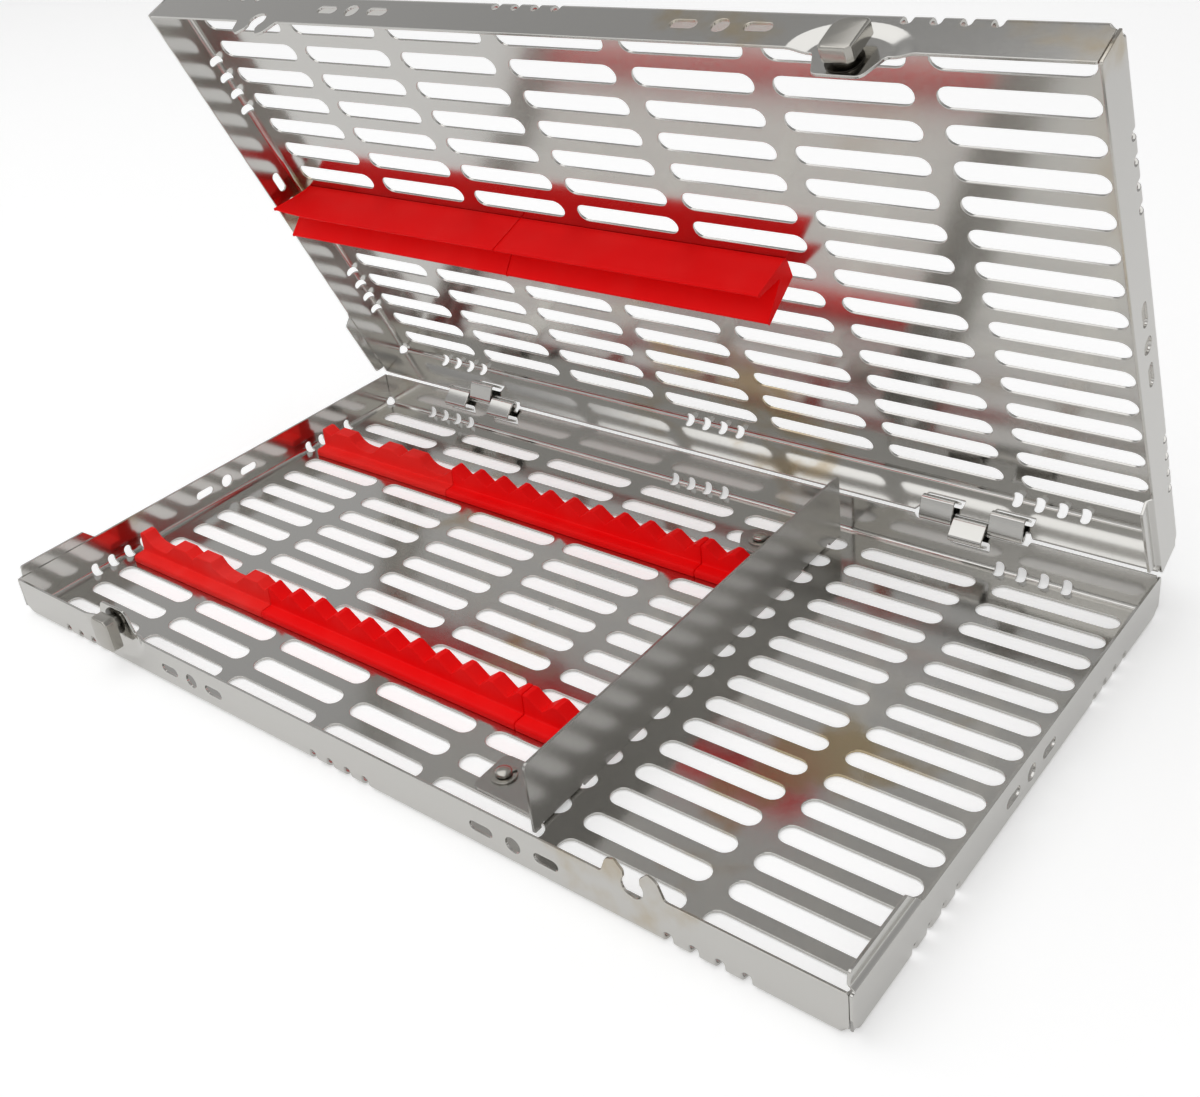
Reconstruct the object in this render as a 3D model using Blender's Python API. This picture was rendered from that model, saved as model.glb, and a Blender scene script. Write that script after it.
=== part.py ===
"""Dental instrument cassette: two folded, perforated half trays on strap hinges.

The cassette stands open as photographed: the lid leans over the base at OPENING_DEG.
Every length below is in millimetres and is turned into metres when a mesh is written.

Each half tray is laid out as its laser-cut blank and then folded.  A point of a half
tray has tray coordinates (x, v, w): x along the cassette, v inward from the hinge axis,
w away from the parting plane, so the floor's outer face lies at w = HALF_HEIGHT.
"""

import math
from dataclasses import dataclass, field

import bmesh
import bpy
from mathutils import Vector
from mathutils.geometry import delaunay_2d_cdt

MM = 0.001

# Overall sizes
LENGTH = 300.0  # along x, outside the side walls
DEPTH = 168.0  # outside the front and back walls
HALF_HEIGHT = 13.6  # parting plane to the floor's outer face
SHEET = 0.8  # sheet thickness of the trays
BEND_OUTER = 2.2  # outer radius of the tray folds
EDGE_INSET = 0.7  # free wall edges stop this short of the parting plane
OPENING_DEG = 66.0  # lid angle in the photograph, 0 is shut

BEND_INNER = BEND_OUTER - SHEET
BEND_NEUTRAL = BEND_INNER + SHEET / 2
BEND_LENGTH = BEND_NEUTRAL * math.pi / 2
HALF_LENGTH = LENGTH / 2
BACK = -SHEET / 2  # the back wall's outer face: the hinge axis is in its mid-thickness
FRONT = BACK + DEPTH
X_TANGENT = HALF_LENGTH - BEND_OUTER
V_TANGENT_BACK = BACK + BEND_OUTER
V_TANGENT_FRONT = FRONT - BEND_OUTER
FLOOR_INNER = HALF_HEIGHT - SHEET  # w of the floor's inner face

# Slot field
SLOT_LENGTH, SLOT_WIDTH = 36.2, 6.2
SLOT_WEB_X, SLOT_WEB_V = 5.4, 4.3  # sheet left between neighbouring slots
SLOT_PITCH_X, SLOT_PITCH_V = SLOT_LENGTH + SLOT_WEB_X, SLOT_WIDTH + SLOT_WEB_V
SLOT_MARGIN = 5.0  # least sheet between the slots and the walls
SLOT_COLUMNS = int((LENGTH - 2 * SLOT_MARGIN + SLOT_WEB_X) / SLOT_PITCH_X)
SLOT_ROWS = int((DEPTH - 2 * SLOT_MARGIN + SLOT_WEB_V) / SLOT_PITCH_V)
SLOT_SHIFT_X, SLOT_SHIFT_V = 0.5, -0.45  # the slot field sits a little off the walls' middle
SLOT_MID_V = BACK + DEPTH / 2 + SLOT_SHIFT_V
SLOT_END_ANGLES = (-90, -30, 30, 90)

# Wall piercings
WALL_RUN = 1.25  # front and back walls run this far into the corner fold
WALL_END = X_TANGENT + WALL_RUN
RELIEF_RADIUS, RELIEF_OFFSET = 2.3, 1.4  # round relief at each bottom corner
BEND_SLOT_PITCH, BEND_SLOTS = 6.65, 4
BEND_SLOT_WIDTH, BEND_SLOT_BELOW, BEND_SLOT_ABOVE = 2.6, 1.3, 4.6
LONG_GROUP_INSET, SIDE_GROUP_INSET = 34.8, 35.6  # group's middle from the tray's end
LONG_GROUP_X = HALF_LENGTH - LONG_GROUP_INSET
LONG_GROUPS = (-LONG_GROUP_X, 0.0, LONG_GROUP_X)  # bend relief groups on front and back folds
SIDE_GROUP_V = DEPTH / 2 - SIDE_GROUP_INSET
SIDE_GROUPS = (SLOT_MID_V - SIDE_GROUP_V, SLOT_MID_V + SIDE_GROUP_V)
MARK_W, MARK_RADIUS, MARK_SPACING = 7.0, 2.3, 10.1
MARK_SLOT_LENGTH, MARK_SLOT_WIDTH = 7.4, 3.0
MARK_INSET = 88.8
FRONT_MARKS = (MARK_INSET - HALF_LENGTH, HALF_LENGTH - MARK_INSET)

# Hinges
PIN_RADIUS = 0.7
CURL_RADIUS = 1.3  # strap centreline round the pin
CUT_W = 2.3  # hinge cut-out edge
CUT_MARGIN, CUT_SLOPE = 1.2, 1.0
STRAP_WIDTH, STRAP_GAP = 10.2, 0.5
HINGE_INSET_LEFT, HINGE_INSET_RIGHT = 52.6, 54.1
HINGE_X = {"left": HINGE_INSET_LEFT - HALF_LENGTH, "right": HALF_LENGTH - HINGE_INSET_RIGHT}
PIN_OVERRUN = 0.2
STRAP_SLOPE_LENGTH = 4.5
STRAP_BEND_RADIUS = 1.1
STRAP_RETURN_DEG = 149.7
STRAP_RETURN_LENGTH = 4.75
WINDOW_W = (4.4, 7.5)
WINDOW_MARGIN = 0.9

# Forks, ears and latches
LATCH_INSET = 53.4
LATCH_X = HALF_LENGTH - LATCH_INSET
PIVOT_W = -1.1  # on the opposite half tray's side of the parting plane
DISH = 1.25  # ears and tabs are set in by this much
DISH_A, DISH_B, DISH_OUTER = 9.7, 5.9, 1.3
SEAT_RADIUS, NECK_HALF = 3.0, 2.25
POST_RADIUS, POST_FLAT = 2.6, 1.95
SHANK_RADIUS, EAR_HOLE = 1.8, 2.15
FORK_HALF, FORK_REACH, NECK_TOP_W = 8.7, 5.0, -2.0
FORK_SHARES = ((0.736, 0.86), (0.655, 1.0), (0.494, 1.0), (0.425, 0.92))
EAR_HALF, EAR_REACH = 8.75, 6.0
EAR_SHARES = ((0.846, 0.7), (0.64, 1.0))
LEVER_GAP, LEVER_THICK = 0.45, 4.0
LEVER_HALF, LEVER_LOW, LEVER_HIGH = 3.9, 3.0, 8.2  # from the pivot
LEVER_ROUNDS, LEVER_BEVEL = (1.2, 0.7, 1.0, 3.4), 0.7
LEVER_FACE_SHARE = 0.88
WASHER_RADIUS, WASHER_THICK, WASHER_CLEARANCE, WASHER_GAP = 3.5, 0.5, 0.15, 0.05
SHANK_STEP = 0.1  # flats end this far outside the ear
RIVET_RADIUS, RIVET_TOP_RADIUS, RIVET_HEIGHT, RIVET_GAP = 2.7, 2.2, 0.7, 0.1
TAB_W, TAB_SET_W = -3.8, -0.5  # tab's free edge, and where it is fully set in
TAB_CORNER, TAB_CORNER_SHARE = 0.6, 0.3
BASE_TAB_INSETS = (29.6, 25.3, 1.7, 1.2)  # foot, top, top, foot from the front wall's face
LID_TAB_INSETS = (4.0, 5.6, 30.9, 33.2)  # the same from the back wall's face

# Silicone
RAIL_ROWS = (3, SLOT_ROWS - 4)  # slot rows that hold the rails' pegs
RAIL_SHIFT = 0.8  # a rail lies this far towards the hinge from its slots' middle
RAIL_STRIP_HALF, RAIL_STRIP_HEIGHT = 4.9, 2.4
RAIL_FIN_HALF, RAIL_FIN_TOP_HALF, RAIL_HEIGHT = 2.7, 2.45, 9.0
TOOTH_PITCH, TOOTH_DEPTH, TOOTH_FLAT = 10.44, 3.4, 2.2
TOOTH_MARGIN, CREST_DROP, VALLEY_RISE, CREST_LEAST = 1.4, 0.3, 0.8, 0.6
STRIP_SLOPE = 0.4
BLOCK_PITCH, SCALLOP_DEPTH = 36.65, 4.2  # notched blocks of the left modules, scallops between
BLOCK_SHARES = (  # along the pitch from the notch, and down the scallop's depth
    (-0.254, 0.0),
    (-0.079, 0.0),
    (0.0, 0.38),
    (0.079, 0.0),
    (0.284, 0.0),
    (0.333, 0.6),
    (0.404, 0.9),
    (0.587, 1.0),
)
NOTCH_INSETS = {"rear": 3.8, "front": 27.6}  # first notch from the left module's end
SEAT_LEAST = 1.0
DIVIDER_INSET = 94.0
DIVIDER_X, DIVIDER_SHEET = HALF_LENGTH - DIVIDER_INSET, 0.8
RAIL_END_INSET, RAIL_LEFT_LENGTH, RAIL_RIGHT_LENGTH, RAIL_STOP_GAP = 7.6, 63.2, 26.9, 0.8
RAIL_STOP = DIVIDER_X - RAIL_STOP_GAP
RAIL_SEAMS = (
    RAIL_END_INSET - HALF_LENGTH,
    RAIL_END_INSET - HALF_LENGTH + RAIL_LEFT_LENGTH,
    RAIL_STOP - RAIL_RIGHT_LENGTH,
    RAIL_STOP,
)
SEAM_GAP = 0.15
SEAT_GAP = 0.04  # clearance under whatever rests on the floor
PEG_LENGTH, PEG_WIDTH, PEG_LEAST = 14.0, 4.6, 10.0
PEG_END, PEG_MARGIN, PEG_SINK, PEG_SHORT = 3.2, 1.5, 0.8, 0.15
BAR_START_INSET, BAR_LEFT_LENGTH, BAR_END_INSET = 7.7, 81.3, 97.7
BAR_SEAMS = (
    BAR_START_INSET - HALF_LENGTH,
    BAR_START_INSET - HALF_LENGTH + BAR_LEFT_LENGTH,
    HALF_LENGTH - BAR_END_INSET,
)
BAR_ROW = SLOT_ROWS // 2
BAR_ROOT_HALF, BAR_TIP_HALF, BAR_TIP_W = 3.0, 4.8, -2.7
BAR_LIP, BAR_VALLEY_W, BAR_CHAMFER, BAR_VALLEY_HALF = 1.7, 9.6, 0.5, 0.35

# Divider
DIVIDER_BACK_GAP, DIVIDER_FRONT_GAP = 5.0, 10.0
DIVIDER_V = (BACK + DIVIDER_BACK_GAP, FRONT - DIVIDER_FRONT_GAP)
DIVIDER_TOP_W = -8.0
DIVIDER_BEND = 1.2
DIVIDER_TOP_CHAMFER, DIVIDER_LOW_CHAMFER = 1.5, 0.6
FOOT_ROWS = (SLOT_ROWS - 2, 1)  # slot rows that take the front and the rear stud
STUD_SETS = (17.0, 20.1)  # studs from the plate
FOOT_BEYOND = (11.4, 8.3)  # the feet reach this far past their studs
FOOT_HALF = 8.0
FOOT_NOTCH_SHARES = (1.1, 1.0, -1.0, -1.1)
FRONT_FOOT_SHARES = (
    (0.93, 0.0), (0.906, 0.211), (0.456, 0.845), (0.181, 0.965), (-0.269, 0.986),
    (-0.619, 0.915), (-0.844, 0.704), (-0.944, 0.211), (-0.969, 0.0),
)
REAR_FOOT_SHARES = (
    (0.906, 0.0), (0.881, 0.211), (0.806, 0.775), (0.531, 0.965), (0.056, 1.014),
    (-0.419, 0.965), (-0.744, 0.775), (-0.869, 0.211), (-0.894, 0.0),
)
STUD_HOLE_GAP, STUD_FOOT_GAP, STUD_SEAT_GAP = 0.2, 0.1, 0.02
STUD_HEAD_GAP, STUD_HEAD_RIM, STUD_HEAD_DOME = 0.35, 0.75, 0.8
STUD_RIM_SHARE, STUD_DOME_SHARE = 0.93, 0.55
RING_GAP = 0.05
STUD_HEAD_RADIUS, STUD_SHANK_RADIUS, STUD_FOOT_RADIUS = 2.3, 1.35, 2.35
RING_RADIUS, RING_HOLE, RING_THICK = 3.6, 1.6, 0.5

Point2 = tuple[float, float]


def slot_centre(column: int, row: int) -> Point2:
    """Tray position (x, v) of one slot, counted from the left and from the hinge."""
    return (
        SLOT_SHIFT_X + (column - (SLOT_COLUMNS - 1) / 2) * SLOT_PITCH_X,
        SLOT_MID_V + (row - (SLOT_ROWS - 1) / 2) * SLOT_PITCH_V,
    )


def stud_x(reach: float) -> float:
    """Stud position nearest to its set distance from the divider that lies in a slot."""
    wanted = DIVIDER_X - reach
    room = (SLOT_LENGTH - SLOT_WIDTH) / 2
    middles = [slot_centre(column, 0)[0] for column in range(SLOT_COLUMNS)]
    return min((min(max(wanted, m - room), m + room) for m in middles), key=lambda x: abs(x - wanted))


def base_point(x: float, v: float, w: float) -> Vector:
    """World position of a point of the base tray, hinge axis on y = 0, floor on z = 0."""
    return Vector((x, -v, HALF_HEIGHT - w)) * MM


def lid_point(x: float, v: float, w: float) -> Vector:
    """World position of a point of the lid tray at the photographed opening."""
    c, s = math.cos(math.radians(OPENING_DEG)), math.sin(math.radians(OPENING_DEG))
    return Vector((x, -v * c + w * s, HALF_HEIGHT + v * s + w * c)) * MM


def stadium(cx: float, cy: float, length: float, width: float, along_x: bool = True) -> list[Point2]:
    """Slot outline with round ends."""
    r = width / 2
    reach = length / 2 - r
    points = []
    for side in (1, -1):
        for a in SLOT_END_ANGLES:
            a = math.radians(a) + (0 if side > 0 else math.pi)
            points.append((side * reach + r * math.cos(a), r * math.sin(a)))
    return [(cx + px, cy + py) if along_x else (cx - py, cy + px) for px, py in points]


def ring(cx: float, cy: float, r: float, count: int, start: float = 0.0) -> list[Point2]:
    """Regular polygon on a circle, counter-clockwise."""
    return [
        (cx + r * math.cos(start + math.tau * k / count), cy + r * math.sin(start + math.tau * k / count))
        for k in range(count)
    ]


# Meshes
def add_object(name: str, verts: list[Vector], faces: list[tuple[int, ...]]) -> bpy.types.Object:
    """Make one closed mesh object with its faces pointing out."""
    mesh = bpy.data.meshes.new(name)
    mesh.from_pydata([tuple(v) for v in verts], [], faces)
    bm = bmesh.new()
    bm.from_mesh(mesh)
    bmesh.ops.recalc_face_normals(bm, faces=bm.faces)
    if bm.calc_volume(signed=True) < 0:
        bmesh.ops.reverse_faces(bm, faces=bm.faces)
    bm.to_mesh(mesh)
    bm.free()
    obj = bpy.data.objects.new(name, mesh)
    bpy.context.scene.collection.objects.link(obj)
    return obj


def triangulate(outline: list[Point2], holes: list[list[Point2]], lines: list[list[Point2]]):
    """Constrained triangulation of a flat blank.

    Args:
        outline: outer boundary.
        holes: closed piercings.
        lines: open polylines that triangles must not cross, such as fold lines.

    Returns:
        The points and the triangles of the material.
    """
    points: list[Vector] = []
    loops: list[list[int]] = []
    edges: list[tuple[int, int]] = []
    for loop in [outline] + holes:
        if sum(a[0] * b[1] - b[0] * a[1] for a, b in zip(loop, loop[1:] + loop[:1])) < 0:
            loop = loop[::-1]
        loops.append(list(range(len(points), len(points) + len(loop))))
        points += [Vector(p) for p in loop]
    for line in lines:
        first = len(points)
        points += [Vector(p) for p in line]
        edges += [(first + k, first + k + 1) for k in range(len(line) - 1)]
    found, _, triangles, _, _, owners = delaunay_2d_cdt(points, edges, loops, 1, 1e-5)
    kept = [t for t, own in zip(triangles, owners) if 0 in own and not any(o > 0 for o in own)]
    return [tuple(p) for p in found], kept


def sheet_object(name, outline, holes, lines, fold, place, thickness=SHEET) -> bpy.types.Object:
    """Cut a blank, fold it and give it its thickness.

    Args:
        fold: maps a blank point and a depth below the inner face to tray coordinates.
        place: maps tray coordinates to the world.
    """
    points, triangles = triangulate(outline, holes, lines)
    used = sorted({k for t in triangles for k in t})
    index = {k: n for n, k in enumerate(used)}
    n = len(used)
    verts = [place(*fold(points[k], 0.0)) for k in used]
    verts += [place(*fold(points[k], thickness)) for k in used]
    faces, count = [], {}
    for t in triangles:
        a = [index[k] for k in t]
        faces.append(tuple(a))
        faces.append(tuple(i + n for i in reversed(a)))
        for k in range(len(a)):
            count[(a[k], a[(k + 1) % len(a)])] = True
    for a, b in count:
        if (b, a) not in count:
            faces += [(b, a, a + n), (b, a + n, b + n)]
    return add_object(name, verts, faces)


def loft(name: str, sections: list[list[Vector]]) -> bpy.types.Object:
    """Closed body through rings of equally many points, capped at both ends."""
    n = len(sections[0])
    verts = [p for section in sections for p in section]
    faces = []
    for k in range(len(sections) - 1):
        for i in range(n):
            a, b = k * n + i, k * n + (i + 1) % n
            faces += [(a, b, b + n), (a, b + n, a + n)]
    last = (len(sections) - 1) * n
    faces.append(tuple(reversed(range(n))))
    faces.append(tuple(range(last, last + n)))
    return add_object(name, verts, faces)


# Folding
def strap_path() -> list[Point2]:
    """Centreline (v, w) of a hinge strap from the cut-out edge to its end."""
    reach = math.sqrt(CUT_W**2 - CURL_RADIUS**2)
    lean = math.asin(CURL_RADIUS / CUT_W)
    touch = (-reach * math.sin(lean), CUT_W - reach * math.cos(lean))
    start = math.atan2(-touch[1], -touch[0])
    stop = math.radians(135)
    path = [(0.0, CUT_W)]
    steps = 5
    for k in range(steps + 1):
        a = start + (stop - start) * k / steps
        path.append((-CURL_RADIUS * math.cos(a), -CURL_RADIUS * math.sin(a)))
    diagonal = math.sqrt(0.5)
    bend = (path[-1][0] + STRAP_SLOPE_LENGTH * diagonal, path[-1][1] + STRAP_SLOPE_LENGTH * diagonal)
    centre = (bend[0] - STRAP_BEND_RADIUS * diagonal, bend[1] + STRAP_BEND_RADIUS * diagonal)
    for k in range(4):
        a = math.radians(-45 + (STRAP_RETURN_DEG - 45) * k / 3)
        out, down = STRAP_BEND_RADIUS * math.cos(a), STRAP_BEND_RADIUS * math.sin(a)
        path.append((centre[0] + out, centre[1] + down))
    a = math.radians(STRAP_RETURN_DEG)
    out, down = STRAP_RETURN_LENGTH * math.cos(a), STRAP_RETURN_LENGTH * math.sin(a)
    path.append((path[-1][0] + out, path[-1][1] + down))
    return path


@dataclass
class Curve:
    """Polyline in the (v, w) plane with mitred offsets, walked by its length."""

    points: list[Point2]
    lengths: list[float] = field(default_factory=list)
    normals: list[Point2] = field(default_factory=list)

    def __post_init__(self):
        self.lengths = [0.0]
        directions = []
        for a, b in zip(self.points, self.points[1:]):
            step = math.dist(a, b)
            directions.append(((b[0] - a[0]) / step, (b[1] - a[1]) / step))
            self.lengths.append(self.lengths[-1] + step)
        before = (0.0, -1.0)
        for k in range(len(self.points)):
            d0 = directions[k - 1] if k else before
            d1 = directions[k] if k < len(directions) else d0
            n0, n1 = (d0[1], -d0[0]), (d1[1], -d1[0])
            s = (n0[0] + n1[0], n0[1] + n1[1])
            scale = 2 / (s[0] ** 2 + s[1] ** 2)
            self.normals.append((s[0] * scale, s[1] * scale))

    def at(self, s: float, out: float) -> Point2:
        """Point at length s, moved sideways by out."""
        k = 0
        while k < len(self.lengths) - 2 and s > self.lengths[k + 1] + 1e-6:
            k += 1
        f = (s - self.lengths[k]) / (self.lengths[k + 1] - self.lengths[k])
        p, q, m, n = self.points[k], self.points[k + 1], self.normals[k], self.normals[k + 1]
        return tuple((p[i] + out * m[i]) * (1 - f) + (q[i] + out * n[i]) * f for i in (0, 1))


STRAP = Curve(strap_path())


@dataclass
class Tray:
    """One half tray: its blank, its fold and its features.

    Attributes:
        name: node name.
        straps: x ranges of this half tray's own hinge straps.
        fork_x: middle of the fork in the front wall.
        ear_x: middle of the latch ear in the front wall.
        tab: (v at foot, v at top, v at top, v at foot) of the side tabs.
        place: tray to world mapping.
    """

    name: str
    straps: list[Point2]
    fork_x: float
    ear_x: float
    tab: tuple[float, float, float, float]
    place: object

    @property
    def strap_reach(self) -> list[Point2]:
        """x ranges of the straps with the rounding of the mesh allowed for."""
        return [(a - SEAT_GAP, b + SEAT_GAP) for a, b in self.straps]

    # Blank coordinates of wall points
    @staticmethod
    def reach(w: float) -> float:
        """Developed distance past the fold's start of a wall point at height w."""
        return BEND_LENGTH + (HALF_HEIGHT - BEND_OUTER) - w

    def front(self, x: float, w: float) -> Point2:
        """Blank position of a front-wall point."""
        return (x, V_TANGENT_FRONT + self.reach(w))

    def back(self, x: float, w: float) -> Point2:
        """Blank position of a back-wall point."""
        return (x, V_TANGENT_BACK - self.reach(w))

    def side(self, sign: int, v: float, w: float) -> Point2:
        """Blank position of a side-wall point."""
        return (sign * (X_TANGENT + self.reach(w)), v)

    def dish(self, x: float, w: float) -> float:
        """How far the latch ear and its surround are set in."""
        s = math.hypot((x - self.ear_x) / DISH_A, max(0.0, w - EDGE_INSET) / DISH_B)
        return DISH * min(1.0, max(0.0, (DISH_OUTER - s) / (DISH_OUTER - 1)))

    def fold(self, point: Point2, depth: float) -> tuple[float, float, float]:
        """Fold a blank point.

        Args:
            point: blank position.
            depth: distance below the inner face.

        Returns:
            Tray coordinates (x, v, w).
        """
        x, v = point
        past = {
            "front": v - V_TANGENT_FRONT,
            "back": V_TANGENT_BACK - v,
            "right": x - X_TANGENT,
            "left": -x - X_TANGENT,
        }
        wall, d = max(past.items(), key=lambda item: item[1])
        if d <= 0:
            return (x, v, FLOOR_INNER + depth)
        if d <= BEND_LENGTH:
            a = d / BEND_NEUTRAL
            out = (BEND_INNER + depth) * math.sin(a)
            w = HALF_HEIGHT - BEND_OUTER + (BEND_INNER + depth) * math.cos(a)
        else:
            w = HALF_HEIGHT - BEND_OUTER + BEND_LENGTH - d
            out = BEND_INNER + depth
            if wall == "front":
                out -= self.dish(x, w)
            elif wall in ("left", "right"):
                out -= DISH * min(1.0, max(0.0, (EDGE_INSET - w) / (EDGE_INSET - TAB_SET_W)))
            elif w < CUT_W and any(a <= x <= b for a, b in self.strap_reach):
                v, w = STRAP.at(CUT_W - w, depth - SHEET / 2)
                return (x, v, w)
        if wall == "front":
            return (x, V_TANGENT_FRONT + out, w)
        if wall == "back":
            return (x, V_TANGENT_BACK - out, w)
        return ((X_TANGENT + out) * (1 if wall == "right" else -1), v, w)

    # Blank outline
    def corner(self, sx: int, front: bool) -> list[Point2]:
        """Round relief at a bottom corner, walked from the long wall to the side wall."""
        tangent = V_TANGENT_FRONT if front else V_TANGENT_BACK
        sv = 1 if front else -1
        rise = math.sqrt(RELIEF_RADIUS**2 - (RELIEF_OFFSET - WALL_RUN) ** 2)
        run = math.sqrt(RELIEF_RADIUS**2 - (BEND_OUTER - RELIEF_OFFSET) ** 2)
        a0 = math.atan2(rise, WALL_RUN - RELIEF_OFFSET)
        a1 = math.atan2(BEND_OUTER - RELIEF_OFFSET, run) + math.tau
        steps = 6
        arc = []
        for k in range(steps + 1):
            a = a0 + (a1 - a0) * k / steps
            arc.append(
                (
                    sx * (X_TANGENT + RELIEF_OFFSET + RELIEF_RADIUS * math.cos(a)),
                    tangent + sv * (RELIEF_OFFSET + RELIEF_RADIUS * math.sin(a)),
                )
            )
        return arc

    def front_edge(self) -> list[Point2]:
        """Free edge of the front wall from left to right, with fork and ear."""
        edge = EDGE_INSET
        fork = [(-FORK_HALF, edge)]
        fork += [(-a * FORK_HALF, -b * FORK_REACH) for a, b in FORK_SHARES]
        fork.append((-NECK_HALF, NECK_TOP_W))
        seat_w = -PIVOT_W
        a = math.acos(NECK_HALF / SEAT_RADIUS)
        seat = []
        for k in range(8):
            b = math.pi + a - (math.pi + 2 * a) * k / 7
            seat.append((SEAT_RADIUS * math.cos(b), seat_w + SEAT_RADIUS * math.sin(b)))
        fork_points = fork + seat + [(-x, w) for x, w in reversed(fork)]
        ear = [(-EAR_HALF, edge)] + [(-a * EAR_HALF, -b * EAR_REACH) for a, b in EAR_SHARES]
        ear += [(-x, w) for x, w in reversed(ear)]
        features = sorted([(self.fork_x, fork_points), (self.ear_x, ear)])
        points = [self.front(-WALL_END, edge)]
        for middle, shape in features:
            points += [self.front(middle + x, w) for x, w in shape]
        points.append(self.front(WALL_END, edge))
        return points

    def back_edge(self) -> list[Point2]:
        """Free edge of the back wall from left to right, with cut-outs and straps."""
        points = [self.back(-WALL_END, EDGE_INSET)]
        end = CUT_W - STRAP.lengths[-1]
        for side in ("left", "right"):
            x0, x1 = hinge_span(side)
            points += [self.back(x0 - CUT_MARGIN - CUT_SLOPE, EDGE_INSET), self.back(x0 - CUT_MARGIN, CUT_W)]
            for a, b in self.straps:
                if x0 - CUT_MARGIN < a < x1 + CUT_MARGIN:
                    points += [self.back(a, CUT_W), self.back(a, end), self.back(b, end), self.back(b, CUT_W)]
            points += [self.back(x1 + CUT_MARGIN, CUT_W), self.back(x1 + CUT_MARGIN + CUT_SLOPE, EDGE_INSET)]
        points.append(self.back(WALL_END, EDGE_INSET))
        return points

    def side_edge(self, sign: int) -> list[Point2]:
        """Free edge of a side wall from the back to the front, with its tab."""
        foot0, top0, top1, foot1 = self.tab
        shape = [
            (BACK, EDGE_INSET),
            (foot0, EDGE_INSET),
            (top0 - TAB_CORNER_SHARE * (top0 - foot0), TAB_W + TAB_CORNER),
            (top0, TAB_W),
            (top1, TAB_W),
            (top1 - TAB_CORNER_SHARE * (top1 - foot1), TAB_W + TAB_CORNER),
            (foot1, EDGE_INSET),
            (FRONT, EDGE_INSET),
        ]
        return [self.side(sign, v, w) for v, w in shape]

    def outline(self) -> list[Point2]:
        """Whole blank outline, counter-clockwise seen with v up and x to the right."""
        points = self.back_edge()
        points += self.corner(1, False)
        points += self.side_edge(1)
        points += list(reversed(self.corner(1, True)))
        points += list(reversed(self.front_edge()))
        points += self.corner(-1, True)
        points += list(reversed(self.side_edge(-1)))
        points += list(reversed(self.corner(-1, False)))
        return points

    def holes(self) -> list[list[Point2]]:
        """Every piercing of the blank."""
        found = []
        for column in range(SLOT_COLUMNS):
            for row in range(SLOT_ROWS):
                found.append(stadium(*slot_centre(column, row), SLOT_LENGTH, SLOT_WIDTH))
        low, high, half = -BEND_SLOT_BELOW, BEND_SLOT_ABOVE, BEND_SLOT_WIDTH / 2
        shape = [(-half, low + half), (0, low), (half, low + half)]
        shape += [(half, high - half), (0, high), (-half, high - half)]
        for k in range(BEND_SLOTS):
            step = (k - (BEND_SLOTS - 1) / 2) * BEND_SLOT_PITCH
            for x in LONG_GROUPS:
                found.append([(x + step + a, V_TANGENT_FRONT + d) for a, d in shape])
                found.append([(x + step + a, V_TANGENT_BACK - d) for a, d in shape])
            for v in SIDE_GROUPS:
                for sign in (1, -1):
                    found.append([(sign * (X_TANGENT + d), v + step + a) for a, d in shape])
        for x in FRONT_MARKS:
            found.append(ring(*self.front(x, MARK_W), MARK_RADIUS, 8))
            for step in (-MARK_SPACING, MARK_SPACING):
                found.append(stadium(*self.front(x + step, MARK_W), MARK_SLOT_LENGTH, MARK_SLOT_WIDTH))
        for sign in (1, -1):
            found.append(ring(*self.side(sign, SLOT_MID_V, MARK_W), MARK_RADIUS, 8))
            for step in (-MARK_SPACING, MARK_SPACING):
                centre = self.side(sign, SLOT_MID_V + step, MARK_W)
                found.append(stadium(*centre, MARK_SLOT_LENGTH, MARK_SLOT_WIDTH, along_x=False))
        for a, b in self.straps:
            corners = [(a - WINDOW_MARGIN, WINDOW_W[1]), (b + WINDOW_MARGIN, WINDOW_W[1])]
            corners += [(b + WINDOW_MARGIN, WINDOW_W[0]), (a - WINDOW_MARGIN, WINDOW_W[0])]
            found.append([self.back(x, w) for x, w in corners])
        found.append(ring(*self.front(self.ear_x, PIVOT_W), EAR_HOLE, 10))
        return found

    def fold_lines(self) -> list[list[Point2]]:
        """Lines that the fold needs as mesh edges."""
        lines = []
        for d in (0.0, BEND_LENGTH / 2, BEND_LENGTH):
            for sign in (1, -1):
                x = sign * (X_TANGENT + d)
                lines.append([(x, BACK + WALL_RUN), (x, FRONT - WALL_RUN)])
            lines.append([(-WALL_END, V_TANGENT_FRONT + d), (WALL_END, V_TANGENT_FRONT + d)])
            lines.append([(-WALL_END, V_TANGENT_BACK - d), (WALL_END, V_TANGENT_BACK - d)])
        for scale in (1.0, DISH_OUTER):
            loop = []
            for k in range(9):
                a = math.pi * k / 8
                x = self.ear_x - DISH_A * scale * math.cos(a)
                loop.append(self.front(x, EDGE_INSET + DISH_B * scale * math.sin(a)))
            lines.append(loop)
        foot0, _, _, foot1 = self.tab
        for sign in (1, -1):
            for w in (EDGE_INSET, TAB_SET_W):
                lines.append([self.side(sign, foot0, w), self.side(sign, foot1, w)])
        for a, b in self.straps:
            for s in STRAP.lengths[:-1]:
                lines.append([self.back(a, CUT_W - s), self.back(b, CUT_W - s)])
        return lines

    def build(self) -> bpy.types.Object:
        """Cut and fold the half tray."""
        return sheet_object(self.name, self.outline(), self.holes(), self.fold_lines(), self.fold, self.place)


def hinge_span(side: str) -> Point2:
    """Ends in x of one hinge's three straps."""
    half = 1.5 * STRAP_WIDTH + STRAP_GAP
    return (HINGE_X[side] - half, HINGE_X[side] + half)


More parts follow.
